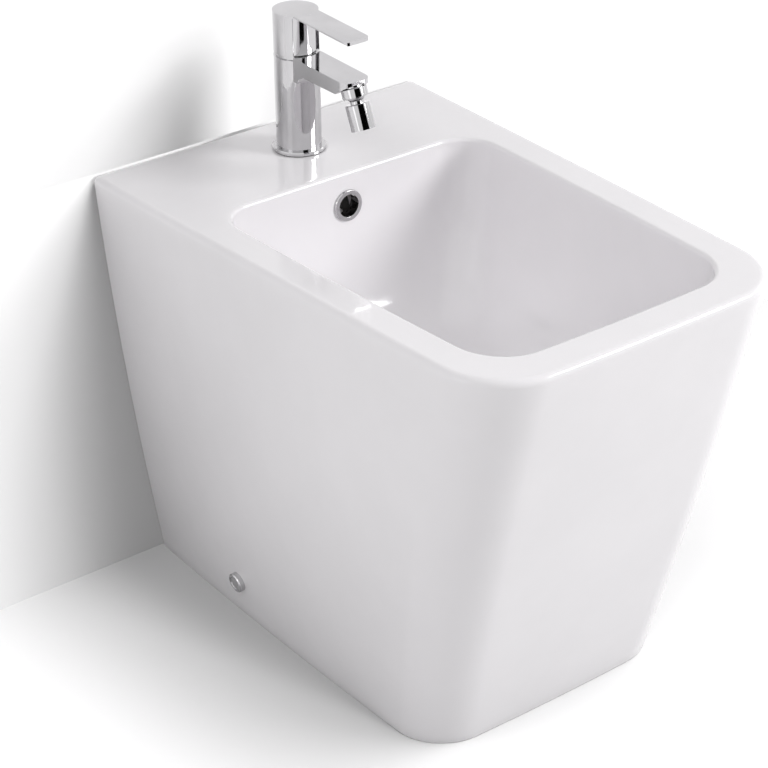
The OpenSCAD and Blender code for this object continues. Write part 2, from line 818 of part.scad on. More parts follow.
module moving_disc() color("lightgray")
    at_tap()
        difference() {
            translate([0, carrier_off, moving_z]) cylinder(r = carrier_r, h = moving_t, $fn = round_fn);
            translate([0, pocket_y, moving_z - eps]) cylinder(r = pocket_r, h = moving_t / 2, $fn = round_fn);
            translate([0, pocket_y + pocket_tail, moving_z - eps])
                cylinder(r = pocket_tail_r, h = moving_t / 2, $fn = round_fn);
        }

module disc_carrier() color("whitesmoke")
    at_tap()
        difference() {
            translate([0, carrier_off, carrier_z]) cylinder(r = carrier_r, h = carrier_t, $fn = round_fn);
            translate([0, 0, carrier_z + socket_floor])
                cylinder(r = ball_end_r + free_gap, h = carrier_t, $fn = round_fn);
        }

module cartridge_housing() color("whitesmoke")
    at_tap()
        difference() {
            translate([0, 0, fixed_z]) cylinder(r = housing_r, h = housing_top - fixed_z, $fn = round_fn);
            translate([0, 0, fixed_z - eps])
                cylinder(r = housing_in_r, h = turret_z + turret_flange_t + free_gap - fixed_z, $fn = round_fn);
            translate([0, 0, fixed_z]) cylinder(r = neck_hole_r, h = far, $fn = round_fn);
        }

// Slot that lets the spindle tip backwards: the arm swings forwards below the pivot
module turret_slot() {
    front = arm_len * sin(lift_deg) + arm_r + slot_gap;
    rear = stem_w / 2 + (turret_top - pivot_h) * sin(lift_deg) + slot_gap;
    translate([-stem_w / 2 - free_gap, -front, turret_z - 1])
        cube([stem_w + 2 * free_gap, front + rear, turret_top - turret_z + 2]);
}

module cartridge_turret() color("whitesmoke")
    at_tap()
        difference() {
            union() {
                translate([0, 0, turret_z]) cylinder(r = housing_in_r - seat_gap, h = turret_flange_t, $fn = round_fn);
                translate([0, 0, turret_z]) cylinder(r = turret_neck_r, h = turret_top - turret_z, $fn = round_fn);
            }
            turret_slot();
            translate([-far / 2, 0, pivot_h])
                rotate([0, 90, 0])
                    cylinder(r = pin_r, h = far, $fn = round_fn);
        }

module pivot_pin() color("silver")
    at_tap()
        translate([-turret_neck_r + pin_inset, 0, pivot_h])
            rotate([0, 90, 0])
                cylinder(r = pin_r, h = 2 * (turret_neck_r - pin_inset), $fn = round_fn);

module cartridge_spindle() color("silver")
    at_tap()
        difference() {
            union() {
                translate([-stem_w / 2, -stem_w / 2, stem_bottom]) cube([stem_w, stem_w, stem_top - stem_bottom]);
                translate([0, 0, pivot_h - arm_len]) cylinder(r = arm_r, h = arm_len - stem_down + 1, $fn = round_fn);
                translate([0, 0, pivot_h - arm_len]) sphere(r = ball_end_r, $fn = round_fn);
            }
            translate([-far / 2, 0, pivot_h])
                rotate([0, 90, 0])
                    cylinder(r = pin_r + run_gap, h = far, $fn = round_fn);
        }

nut_notch = 3;

module cartridge_nut() color("goldenrod")
    at_tap()
        translate([0, 0, housing_top])
            difference() {
                ring(cart_bore_r, neck_hole_r, joint_h - housing_top);
                for (a = [45:90:315])
                    rotate([0, 0, a])
                        translate([cart_bore_r - nut_notch, -nut_notch / 2, joint_h - housing_top - nut_notch])
                            cube([nut_notch - 1, nut_notch, nut_notch + eps]);
            }

dome_r = 15.5;
dome_wall = 1.1;
dome_open_r = 12;
dome_top = pivot_h + sqrt(dome_r * dome_r - dome_open_r * dome_open_r);

// Recessed ring between body and handle, with the dome that the handle rides over
module dome_ring() color("gainsboro")
    at_tap()
        difference() {
            union() {
                translate([0, 0, joint_h]) cylinder(r = joint_ring_r, h = joint_ring_h, $fn = round_fn);
                intersection() {
                    translate([0, 0, pivot_h]) sphere(r = dome_r, $fn = round_fn);
                    translate([0, 0, joint_h + joint_ring_h / 2])
                        cylinder(r = dome_r + 1, h = dome_top - joint_h - joint_ring_h / 2, $fn = round_fn);
                }
            }
            translate([0, 0, pivot_h]) sphere(r = dome_r - dome_wall, $fn = round_fn);
        }

// ---------------------------------------------------------------- tap, handle

handle_z = joint_h + joint_ring_h + free_gap;
skirt_in_r = joint_ring_r + seat_gap;
skirt_in_h = 8.8;
lever_under = handle_top - lever_t;
socket_w = stem_w + seat_gap;
grub_r = 2.5;
grub_h = pivot_h + 19;
grub_len = 7;
plug_in_r = 3.5;
plug_in_t = 2.6;

dome_gap = 0.5;
recess_edge_t = lever_edge_t + 0.4;

// Cross-section of the lever, with its top at zero and up to spare above it: thin side edges, and an underside
// bevelled in from them.
module lever_section(w, edge_t, up) {
    foot = lever_w / 2 - lever_bevel_w;
    polygon([[-w / 2, up], [w / 2, up], [w / 2, -edge_t], [foot, -lever_t], [-foot, -lever_t], [-w / 2, -edge_t]]);
}

module lever_solid() {
    tip_top = handle_top - lever_fall;
    slope = atan(lever_fall / (lever_reach + 1 - core_r));
    intersection() {
        linear_extrude(2 * far) bar_plan(lever_w, lever_reach, lever_corner_r);
        translate([0, -core_r, handle_top])
            rotate([90 + slope, 0, 0])
                translate([0, 0, -far])
                    linear_extrude(2 * far)
                        lever_section(lever_w, lever_edge_t, lever_t);
        across(lever_w)
            polygon([
                [0, handle_top],
                [core_r, handle_top],
                [lever_reach + 1, tip_top],
                [lever_reach + 1, tip_top - lever_tip_t],
                [core_r, lever_under],
                [0, lever_under]
            ]);
    }
}

module handle() color("gainsboro")
    at_tap()
        difference() {
            union() {
                translate([0, 0, handle_z]) cylinder(r = handle_r, h = handle_top - handle_z, $fn = round_fn);
                lever_solid();
            }
            // front recess that shows the core
            difference() {
                union() {
                    translate([-recess_w / 2, -handle_r - 1, handle_z - 1])
                        cube([recess_w, handle_r + 1, lever_under - handle_z + 1]);
                    difference() {
                        translate([-recess_w / 2, -handle_r - 1, lever_under - eps])
                            cube([recess_w, handle_r + 1, lever_t - recess_edge_t + eps]);
                        translate([0, 1, handle_top])
                            rotate([90, 0, 0])
                                linear_extrude(handle_r + 3)
                                    lever_section(recess_w + 1, recess_edge_t, lever_t);
                    }
                }
                translate([0, 0, handle_z - 2]) cylinder(r = core_r, h = far, $fn = round_fn);
            }
            // room for the dome, and for the recessed ring when the handle tips back
            translate([0, 0, pivot_h]) sphere(r = dome_r + dome_gap, $fn = round_fn);
            intersection() {
                translate([0, 0, handle_z - 1]) cylinder(r = skirt_in_r, h = skirt_in_h + 1, $fn = round_fn);
                translate([-far, 0, 0]) cube([2 * far, far, 2 * far]);
            }
            // rear edge, cut level with the body's top at full lift
            translate([0, 0, pivot_h])
                rotate([lift_deg, 0, 0])
                    translate([-far, -far, -far - pivot_h + joint_h + free_gap])
                        cube([2 * far, 2 * far, far]);
            // socket for the spindle, and the hole of the grub screw behind it
            translate([-socket_w / 2, -socket_w / 2, pivot_h])
                cube([socket_w, socket_w, stem_top - pivot_h + seat_gap]);
            translate([0, 0, grub_h]) along_y(grub_r, 0, far);
            translate([0, 0, grub_h]) along_y(plug_in_r, handle_r - plug_in_t, far);
        }

module grub_screw() color("silver")
    at_tap()
        translate([0, 0, grub_h])
            difference() {
                along_y(grub_r, stem_w / 2, stem_w / 2 + grub_len);
                translate([0, stem_w / 2 + grub_len - 2, 0])
                    rotate([-90, 0, 0])
                        cylinder(r = grub_r / 2, h = 3, $fn = 6);
            }

module screw_plug() color("gray")
    at_tap()
        intersection() {
            translate([0, 0, grub_h])
                union() {
                    along_y(plug_in_r, handle_r - plug_in_t, far);
                    along_y(grub_r, handle_r - 2 * plug_in_t, handle_r);
                }
            cylinder(r = handle_r - 0.1, h = 2 * far, $fn = round_fn);
        }

// ---------------------------------------------------------------- tap, nozzle

collar_wall = 1.8;
ball_bore_r = 4.5;
ball_cut = 2;
seat_in_r = ball_r + 0.15;
cavity_r = collar_r - collar_wall;
lip_r = ball_r + free_gap;
thread_bore_r = collar_thread_r - 1.1;
collar_roof = 0.8;
neck_r = 6;
insert_r = nozzle_r - 2;
insert_down = 10;
insert_z = nozzle_drop + insert_down;
nozzle_bevel = 0.8;
washer_t = 1.5;
neck_in_nozzle = 6;
nozzle_end = nozzle_drop + nozzle_len;
insert_inset = 0.8;

module outlet_collar() color("gainsboro")
    at_ball()
        difference() {
            union() {
                translate([0, 0, -collar_up]) cylinder(r = collar_r, h = collar_up + collar_down, $fn = round_fn);
                translate([0, 0, -collar_up - collar_thread_len])
                    cylinder(r = collar_thread_r, h = collar_thread_len + eps, $fn = round_fn);
            }
            translate([0, 0, -collar_up - collar_thread_len - eps])
                cylinder(r = thread_bore_r, h = far / 2, $fn = round_fn);
            intersection() {
                sphere(r = lip_r, $fn = round_fn);
                cylinder(r = far, h = far, $fn = round_fn);
            }
            translate([0, 0, collar_roof - collar_up])
                cylinder(r = cavity_r, h = collar_up - collar_roof + seat_gap, $fn = round_fn);
        }

module ball_seat() color("whitesmoke")
    at_ball()
        difference() {
            translate([0, 0, collar_roof + seat_gap - collar_up])
                cylinder(r = cavity_r - seat_gap, h = collar_up - collar_roof - seat_gap, $fn = round_fn);
            sphere(r = seat_in_r, $fn = round_fn);
        }

module swivel_ball() color("gainsboro")
    at_ball()
        difference() {
            union() {
                intersection() {
                    sphere(r = ball_r, $fn = round_fn);
                    translate([0, 0, -ball_cut]) cylinder(r = ball_r + 1, h = 2 * ball_r, $fn = round_fn);
                }
                cylinder(r = neck_r, h = nozzle_drop + neck_in_nozzle, $fn = round_fn);
            }
            translate([0, 0, -ball_r]) cylinder(r = ball_bore_r, h = far, $fn = round_fn);
        }

module nozzle_shell() color("gainsboro")
    at_ball()
        difference() {
            union() {
                translate([0, 0, nozzle_drop])
                    cylinder(r1 = nozzle_r - nozzle_bevel, r2 = nozzle_r, h = nozzle_bevel + eps, $fn = round_fn);
                translate([0, 0, nozzle_drop + nozzle_bevel])
                    cylinder(r = nozzle_r, h = nozzle_len - nozzle_bevel, $fn = round_fn);
            }
            translate([0, 0, nozzle_drop - eps]) cylinder(r = neck_r, h = far, $fn = round_fn);
            translate([0, 0, insert_z - washer_t]) cylinder(r = insert_r, h = far, $fn = round_fn);
        }

module aerator_washer() color("dimgray")
    at_ball() translate([0, 0, insert_z - washer_t]) ring(insert_r, ball_bore_r + 1, washer_t);

insert_hole_r = 0.8;
insert_pitch = 2.9;
insert_wall = 1.2;
insert_face_t = 2;
hole_circles = 2;

module aerator_insert() color("whitesmoke")
    at_ball()
        difference() {
            translate([0, 0, insert_z]) cylinder(r = insert_r, h = nozzle_end - insert_inset - insert_z, $fn = round_fn);
            translate([0, 0, insert_z - eps])
                cylinder(r = insert_r - insert_wall, h = nozzle_end - insert_inset - insert_z - insert_face_t, $fn = round_fn);
            for (n = [0:hole_circles])
                for (k = [0:max(0, 6 * n - 1)])
                    rotate([0, 0, n == 0 ? 0 : 60 * k / n])
                        translate([n * insert_pitch, 0, nozzle_end - insert_inset - 2 * insert_face_t])
                            cylinder(r = insert_hole_r, h = 3 * insert_face_t, $fn = 24);
        }

// ---------------------------------------------------------------- tap, under the deck

stud_below = 52;
shoe_r = 24;
shoe_gasket_t = 3;
shoe_plate_t = 2;
shoe_slot_w = 26;
shoe_slot_y = 2;
nut_af = 13;
nut_len = 14;
deck_under = -deck_t;

module fixing_stud() color("silver")
    at_tap()
        translate([0, stud_y, -stud_below])
            cylinder(r = stud_r, h = stud_below + gasket_t + stud_in_body - eps, $fn = round_fn);

// Horseshoe washer: a disc with a slot for the hoses, open to the front, and the stud's hole
module horseshoe(z, h) {
    at_tap()
        translate([0, 0, z])
            difference() {
                cylinder(r = shoe_r, h = h, $fn = round_fn);
                translate([-shoe_slot_w / 2, -shoe_r, -eps]) cube([shoe_slot_w, shoe_r + shoe_slot_y, h + 2 * eps]);
                translate([0, stud_y, -eps]) cylinder(r = stud_r, h = h + 2 * eps, $fn = round_fn);
            }
}

module horseshoe_gasket() color("dimgray")
    horseshoe(deck_under - shoe_gasket_t, shoe_gasket_t);

module horseshoe_plate() color("silver")
    horseshoe(deck_under - shoe_gasket_t - shoe_plate_t, shoe_plate_t);

module stud_nut() color("goldenrod")
    at_tap()
        translate([0, stud_y, deck_under - shoe_gasket_t - shoe_plate_t - nut_len])
            difference() {
                cylinder(r = nut_af / sqrt(3), h = nut_len, $fn = 6);
                translate([0, 0, -eps]) cylinder(r = stud_r, h = nut_len + 2 * eps, $fn = round_fn);
            }

// ---------------------------------------------------------------- waste

top_seal_t = 1.5;
flange_t = 2;
tail_in_r = tail_r - tail_wall;
dish_r = 24;
dish_drop = 3;
waste_neck_h = 5;
slot_w = 8;
slot_h = 12;
bridge_z = -38;
bridge_t = 4;
bridge_w = 3;
hub_r = 7;
core_r_out = 5;
core_thread_r = 3.2;
stem_r = 2.5;
core_top = -8;
cone_seal_t = 6;
backnut_t = 9;
backnut_r = 31;
plug_t = 4;

// Places children at the middle of the waste, on the bowl's seat
module at_waste() {
    translate([0, waste_y, seat_z]) children();
}

module waste_top_seal() color("dimgray")
    at_waste() ring(flange_r - 1, waste_hole_r + 0.5, top_seal_t);

module waste_body() color("silver")
    at_waste() {
        difference() {
            union() {
                translate([0, 0, top_seal_t]) cylinder(r = flange_r, h = flange_t - 1, $fn = round_fn);
                translate([0, 0, top_seal_t + flange_t - 1 - eps])
                    cylinder(r1 = flange_r, r2 = flange_r - 2, h = 1 + eps, $fn = round_fn);
                translate([0, 0, -tail_len]) cylinder(r = tail_r, h = tail_len, $fn = round_fn);
                translate([0, 0, -waste_neck_h])
                    cylinder(r = waste_hole_r - 2 * seat_gap, h = waste_neck_h + top_seal_t + eps, $fn = round_fn);
            }
            translate([0, 0, -tail_len - eps]) cylinder(r = tail_in_r, h = 2 * tail_len, $fn = round_fn);
            translate([0, 0, top_seal_t - dish_drop])
                cylinder(r1 = tail_in_r, r2 = dish_r, h = dish_drop + flange_t + eps, $fn = round_fn);
            for (a = [0:90:270])
                rotate([0, 0, a])
                    translate([0, -slot_w / 2, duct_z - seat_z - slot_h / 2])
                        cube([tail_r + 1, slot_w, slot_h]);
        }
        difference() {
            union() {
                translate([0, 0, bridge_z]) cylinder(r = hub_r, h = bridge_t, $fn = round_fn);
                for (a = [45, 135])
                    rotate([0, 0, a])
                        translate([-tail_in_r - tail_wall / 2, -bridge_w / 2, bridge_z])
                            cube([2 * tail_in_r + tail_wall, bridge_w, bridge_t]);
            }
            translate([0, 0, bridge_z - 1]) cylinder(r = core_thread_r, h = bridge_t + 2, $fn = round_fn);
        }
    }

module waste_cone_seal() color("dimgray")
    at_waste()
        translate([0, 0, -waste_boss_h - cone_seal_t])
            difference() {
                cylinder(r1 = backnut_r - 3, r2 = boss_r - 2, h = cone_seal_t, $fn = round_fn);
                translate([0, 0, -eps]) cylinder(r = tail_r, h = cone_seal_t + 2 * eps, $fn = round_fn);
            }

module waste_backnut() color("goldenrod")
    at_waste()
        translate([0, 0, -waste_boss_h - cone_seal_t - backnut_t])
            difference() {
                cylinder(r = backnut_r, h = backnut_t, $fn = 8);
                translate([0, 0, -eps]) cylinder(r = tail_r, h = backnut_t + 2 * eps, $fn = round_fn);
            }

module click_core() color("goldenrod")
    at_waste()
        difference() {
            union() {
                translate([0, 0, bridge_z + bridge_t])
                    cylinder(r = core_r_out, h = core_top - bridge_z - bridge_t, $fn = round_fn);
                translate([0, 0, bridge_z]) cylinder(r = core_thread_r, h = bridge_t + eps, $fn = round_fn);
            }
            translate([0, 0, bridge_z + bridge_t + 2]) cylinder(r = stem_r + run_gap, h = far, $fn = round_fn);
        }

plug_z = top_seal_t + 1;
plug_seal_t = 1.6;
plug_bevel = 1;
plug_bevel_w = 3;
plug_crown = 0.6;
plug_crown_w = 12;
stem_gap = 3;

module waste_plug() color("silver")
    at_waste() {
        translate([0, 0, plug_z]) cylinder(r = plug_r, h = plug_t - plug_bevel - plug_crown, $fn = round_fn);
        translate([0, 0, plug_z + plug_t - plug_bevel - plug_crown - eps])
            cylinder(r1 = plug_r, r2 = plug_r - plug_bevel_w, h = plug_bevel + eps, $fn = round_fn);
        translate([0, 0, plug_z + plug_t - plug_crown - eps])
            cylinder(r1 = plug_r - plug_bevel_w, r2 = plug_r - plug_crown_w, h = plug_crown + eps, $fn = round_fn);
        translate([0, 0, bridge_z + bridge_t + stem_gap])
            cylinder(r = stem_r, h = plug_z - bridge_z - bridge_t - stem_gap + eps, $fn = round_fn);
    }

module plug_seal() color("dimgray")
    at_waste() translate([0, 0, plug_z - plug_seal_t]) ring(tail_in_r + 1.8, tail_in_r - 3, plug_seal_t);

// ---------------------------------------------------------------- trap

outlet_z = seat_z - tail_len - outlet_drop;
cup_z = outlet_z - cup_drop;
inlet_nut_h = 22;
inlet_nut_r = 27;
inlet_nut_lip = 4;
tube_collar_t = 3;
inlet_nut_z = seat_z - tail_len - tube_collar_t - inlet_nut_lip;
trap_tube_wall = 1.5;
tube_dip = 45;
tube_bottom = outlet_z - tube_dip;
bottle_wall = 2.5;
bottle_above = 24;
bottle_top = outlet_z + bottle_above;
cup_h = 26;
bottle_z = cup_z + cup_h;
neck_len = 8;
neck_nut_h = 13;
neck_nut_r = 26;
stub_r = 20;
stub_len = 18;
stub_root = 8;
cup_wall = 2.5;
cup_grip = 3;
cup_r = bottle_r + cup_grip;
cup_lap = 6;
cup_foot_h = 6;
cup_foot_in = 8;
cup_rib_r = 1.6;
cup_ribs = 12;
cup_in_r = bottle_r - 6;
cup_seal_t = 2;
cup_seal_w = 4;
outlet_nut_r = 24;
outlet_nut_len = 20;
outlet_nut_off = 6;
pipe_off = 2;
stop_rib_up = 1;
stop_rib_w = 2;
outlet_start = waste_y + bottle_r + pipe_off;
pipe_end = wall_y - free_gap;

module at_trap() {
    translate([0, waste_y, 0]) children();
}

module trap_inlet_nut() color("whitesmoke")
    at_trap()
        translate([0, 0, inlet_nut_z])
            difference() {
                cylinder(r = inlet_nut_r, h = inlet_nut_h, $fn = 8);
                translate([0, 0, inlet_nut_lip]) cylinder(r = tail_r, h = inlet_nut_h, $fn = round_fn);
                translate([0, 0, -eps]) cylinder(r = outlet_r + seat_gap, h = inlet_nut_h, $fn = round_fn);
            }

module trap_tube() color("whitesmoke")
    at_trap()
        difference() {
            union() {
                translate([0, 0, tube_bottom])
                    cylinder(r = outlet_r, h = inlet_nut_z + inlet_nut_lip - tube_bottom + eps, $fn = round_fn);
                translate([0, 0, inlet_nut_z + inlet_nut_lip])
                    cylinder(r = tail_r - seat_gap, h = tube_collar_t, $fn = round_fn);
            }
            translate([0, 0, tube_bottom - eps])
                cylinder(r = outlet_r - trap_tube_wall, h = far * 2, $fn = round_fn);
        }

module trap_bottle() color("whitesmoke")
    at_trap()
        difference() {
            union() {
                translate([0, 0, bottle_z]) cylinder(r = bottle_r, h = bottle_top - bottle_z, $fn = round_fn);
                translate([0, 0, bottle_top - eps]) cylinder(r = stub_r, h = neck_len, $fn = round_fn);
                translate([0, 0, outlet_z]) along_y(stub_r, bottle_r - stub_root, bottle_r + stub_len);
            }
            translate([0, 0, bottle_z - eps])
                cylinder(r = bottle_r - bottle_wall, h = bottle_top - bottle_z - bottle_wall, $fn = round_fn);
            translate([0, 0, bottle_z]) cylinder(r = outlet_r + seat_gap, h = far * 2, $fn = round_fn);
            translate([0, 0, outlet_z]) along_y(outlet_r - trap_tube_wall, 0, far);
            translate([0, 0, outlet_z]) along_y(outlet_r + seat_gap, bottle_r + pipe_off, far);
        }

module trap_neck_nut() color("whitesmoke")
    at_trap()
        translate([0, 0, bottle_top])
            difference() {
                cylinder(r = neck_nut_r, h = neck_nut_h, $fn = 8);
                translate([0, 0, -eps]) cylinder(r = stub_r, h = neck_len + eps, $fn = round_fn);
                translate([0, 0, -eps]) cylinder(r = outlet_r + seat_gap, h = neck_nut_h + 2 * eps, $fn = round_fn);
            }

module trap_cup() color("whitesmoke")
    at_trap()
        difference() {
            union() {
                translate([0, 0, cup_z + cup_foot_h])
                    cylinder(r = cup_r, h = cup_h - cup_foot_h + cup_lap, $fn = round_fn);
                translate([0, 0, cup_z])
                    cylinder(r1 = cup_r - cup_foot_in, r2 = cup_r, h = cup_foot_h + eps, $fn = round_fn);
                for (k = [0:cup_ribs - 1])
                    rotate([0, 0, 360 * k / cup_ribs])
                        translate([cup_r, 0, cup_z + cup_foot_h + 1])
                            cylinder(r = cup_rib_r, h = cup_h - cup_foot_h, $fn = 24);
            }
            translate([0, 0, cup_z + cup_wall])
                cylinder(r1 = cup_r - cup_foot_in - cup_wall, r2 = cup_in_r, h = cup_foot_h, $fn = round_fn);
            translate([0, 0, cup_z + cup_wall + cup_foot_h - eps])
                cylinder(r = cup_in_r, h = cup_h - cup_wall - cup_foot_h, $fn = round_fn);
            translate([0, 0, bottle_z - cup_seal_t]) cylinder(r = bottle_r, h = far, $fn = round_fn);
        }

module trap_cup_seal() color("dimgray")
    at_trap()
        translate([0, 0, bottle_z - cup_seal_t]) ring(bottle_r, bottle_r - cup_seal_w, cup_seal_t);

// Pipe from the trap to the wall, with a rib that stops it in the wall's socket
module trap_outlet_pipe() color("whitesmoke")
    translate([0, 0, outlet_z])
        difference() {
            union() {
                along_y(outlet_r, outlet_start, pipe_end);
                along_y(outlet_r + stop_rib_up, pipe_end - wall_socket_len - stop_rib_w, pipe_end - wall_socket_len);
            }
            along_y(outlet_r - trap_tube_wall, outlet_start - 1, pipe_end + 1);
        }

module trap_outlet_nut() color("whitesmoke")
    translate([0, waste_y + bottle_r + outlet_nut_off, outlet_z])
        rotate([-90, 0, 0])
            difference() {
                cylinder(r = outlet_nut_r, h = outlet_nut_len, $fn = 8);
                translate([0, 0, -eps]) cylinder(r = stub_r, h = stub_len - outlet_nut_off + eps, $fn = round_fn);
                translate([0, 0, -eps]) cylinder(r = outlet_r + seat_gap, h = outlet_nut_len + 1, $fn = round_fn);
            }

ceramic_body();
overflow_ring();
base_gasket();
base_ring();
tap_body();
inlet_bushes();
cartridge_seals();
cartridge_base();
fixed_disc();
moving_disc();
disc_carrier();
cartridge_housing();
cartridge_turret();
pivot_pin();
cartridge_spindle();
cartridge_nut();
dome_ring();
handle();
grub_screw();
screw_plug();
outlet_collar();
ball_seat();
swivel_ball();
nozzle_shell();
aerator_washer();
aerator_insert();
fixing_stud();
horseshoe_gasket();
horseshoe_plate();
stud_nut();
waste_top_seal();
waste_body();
waste_cone_seal();
waste_backnut();
click_core();
waste_plug();
plug_seal();
trap_inlet_nut();
trap_tube();
trap_neck_nut();
trap_bottle();
trap_cup_seal();
trap_cup();
trap_outlet_nut();
trap_outlet_pipe();
bracket_left();
bracket_right();
fixing_sleeves();
fixing_screws();
cover_cap_left();
cover_cap_right();
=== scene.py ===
"""Looks of the floor standing bidet: glazed body, chrome mixer tap, and a pale studio round it.

Metres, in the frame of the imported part: origin on the floor in the middle of the plan, +Y to the wall.
"""

import json
import math

import bmesh
import bpy
import numpy as np
from mathutils import Matrix, Vector


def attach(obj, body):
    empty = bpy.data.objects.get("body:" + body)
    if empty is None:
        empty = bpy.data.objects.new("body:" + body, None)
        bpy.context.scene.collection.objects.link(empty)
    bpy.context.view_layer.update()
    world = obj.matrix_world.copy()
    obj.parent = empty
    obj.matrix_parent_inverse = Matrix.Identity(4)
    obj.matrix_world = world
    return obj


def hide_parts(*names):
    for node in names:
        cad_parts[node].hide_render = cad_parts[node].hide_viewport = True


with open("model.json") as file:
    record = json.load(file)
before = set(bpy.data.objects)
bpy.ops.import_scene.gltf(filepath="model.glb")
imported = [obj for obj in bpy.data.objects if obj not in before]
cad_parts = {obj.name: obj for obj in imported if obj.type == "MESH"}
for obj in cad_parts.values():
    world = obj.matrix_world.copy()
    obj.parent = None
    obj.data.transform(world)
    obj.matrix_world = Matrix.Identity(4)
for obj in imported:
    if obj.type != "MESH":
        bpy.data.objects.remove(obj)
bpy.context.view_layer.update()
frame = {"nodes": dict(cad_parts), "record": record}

MM = 0.001

# ---------------------------------------------------------------- sizes of the ceramic body, in millimetres

BODY_W, BODY_D, BODY_H = 360.0, 530.0, 405.0
FOOT_W, FOOT_D = 262.0, 427.0
WALL, DECK_T = 11.0, 14.0
RIM_CORNER_R, FOOT_CORNER_R, BACK_CORNER_R = 64.0, 46.0, 6.0
SIDE_SWELL = 0.38
RIM_TAPER, FOOT_TAPER = 0.11, -0.035
RIM_BULGE, FOOT_BULGE = 0.01, 0.028
FRONT_BOW = 3.0
RIM_EDGE_R, FOOT_EDGE_R = 7.0, 1.5
BOWL_W, DECK_D, RIM_FRONT_W = 279.0, 136.0, 38.0
BOWL_BACK_R, BOWL_FRONT_R = 35.0, 42.0
BOWL_TAPER, BOWL_BULGE = 0.098, 0.016
BOWL_EDGE_R, BOWL_DEPTH, BOWL_POWER = 4.0, 155.0, 2.7
WASTE_SEAT_R, WASTE_BACK, WASTE_HOLE_R, WASTE_BOSS_H, WASTE_EDGE_R = 37.0, 275.0, 23.0, 26.0, 2.0
OVERFLOW_DROP, OVERFLOW_HOLE_R = 32.0, 12.0
DUCT_R, DUCT_OUT_R, DUCT_BEND_R = 6.0, 12.0, 18.0
BACK_OPEN_W, BACK_OPEN_H, BACK_OPEN_R, BACK_OPEN_EDGE_R = 190.0, 300.0, 30.0, 2.5
TAP_BACK, TAP_HOLE_R = 65.0, 17.5
FIX_Z, FIX_BACK, FIX_HOLE_R = 38.0, 148.0, 5.5

WALL_Y = BODY_D / 2
RIM_FRONT_Y = -WALL_Y + FRONT_BOW
FOOT_FRONT_Y = WALL_Y - FOOT_D + FRONT_BOW
BOWL_BACK_Y = WALL_Y - DECK_D
BOWL_FRONT_Y = RIM_FRONT_Y + RIM_FRONT_W
SEAT_Z = BODY_H - BOWL_DEPTH
WASTE_Y = WALL_Y - WASTE_BACK
TAP_Y = WALL_Y - TAP_BACK
FIX_Y = WALL_Y - FIX_BACK
OVERFLOW_Z = BODY_H - OVERFLOW_DROP
DUCT_Y = BOWL_BACK_Y + WALL + DUCT_R
DUCT_Z = SEAT_Z - DUCT_OUT_R
BOSS_R = WASTE_HOLE_R + WALL

# Steps along one outline, per corner, side, front and half of the back
CORNER_N, SIDE_N, FRONT_N, HALF_BACK_N = 22, 36, 26, 20

# Tightest back corner that the skirt keeps where it is drawn in
TIGHTEST_R = 2.0

# How far a cutter runs past the wall that it cuts
PAST = 20.0


# ---------------------------------------------------------------- meshes

def mix(a, b, t):
    """Straight mix of a and b, a at t = 0."""
    return a + (b - a) * t


def quads_of(rings, points, closed):
    """Corner numbers of the quads that join each ring to the next, and the last to the first if closed."""
    i, j = np.meshgrid(np.arange(rings if closed else rings - 1), np.arange(points), indexing="ij")
    here, there = i * points, (i + 1) % rings * points
    after = (j + 1) % points
    return np.stack([here + j, here + after, there + after, there + j], axis=-1).reshape(-1, 4)


def object_of(name, points_mm, faces):
    """New object from points in millimetres and lists of corner numbers."""
    mesh = bpy.data.meshes.new(name)
    mesh.from_pydata(np.asarray(points_mm) * MM, [], faces)
    mesh.validate()
    obj = bpy.data.objects.new(name, mesh)
    bpy.context.collection.objects.link(obj)
    return recalculated(obj)


def looped(name, grid):
    """Closed skin over a loop of rings: grid has the shape (rings, points, 3), in millimetres."""
    rings, points = grid.shape[:2]
    return object_of(name, grid.reshape(-1, 3), quads_of(rings, points, True).tolist())


def capped(name, grid):
    """Closed skin over a row of rings, with a flat face over the first and the last."""
    rings, points = grid.shape[:2]
    ends = [list(range(points)), list(range((rings - 1) * points, rings * points))]
    return object_of(name, grid.reshape(-1, 3), quads_of(rings, points, False).tolist() + ends)


def recalculated(obj):
    """Turns every face outwards."""
    bm = bmesh.new()
    bm.from_mesh(obj.data)
    bmesh.ops.recalc_face_normals(bm, faces=bm.faces)
    bm.to_mesh(obj.data)
    bm.free()
    return obj


def evaluated(obj):
    """Gives obj the mesh that its modifiers make, and takes the modifiers off."""
    made = bpy.data.meshes.new_from_object(obj.evaluated_get(bpy.context.evaluated_depsgraph_get()))
    obj.modifiers.clear()
    old = obj.data
    obj.data = made
    bpy.data.meshes.remove(old)


def combined(obj, operation, *others):
    """Joins the others to obj (UNION) or takes them away (DIFFERENCE), one boolean each, and deletes them."""
    for other in others:
        boolean = obj.modifiers.new("combined", "BOOLEAN")
        boolean.operation = operation
        boolean.solver = "EXACT"
        boolean.object = other
        evaluated(obj)
        bpy.data.objects.remove(other)


def smooth_by_angle(obj, degrees):
    """Shades faces smooth and marks every edge sharper than the angle as sharp."""
    bm = bmesh.new()
    bm.from_mesh(obj.data)
    for face in bm.faces:
        face.smooth = True
    limit = math.radians(degrees)
    for edge in bm.edges:
        edge.smooth = len(edge.link_faces) == 2 and edge.calc_face_angle() < limit
    bm.to_mesh(obj.data)
    bm.free()


# ---------------------------------------------------------------- ceramic surface

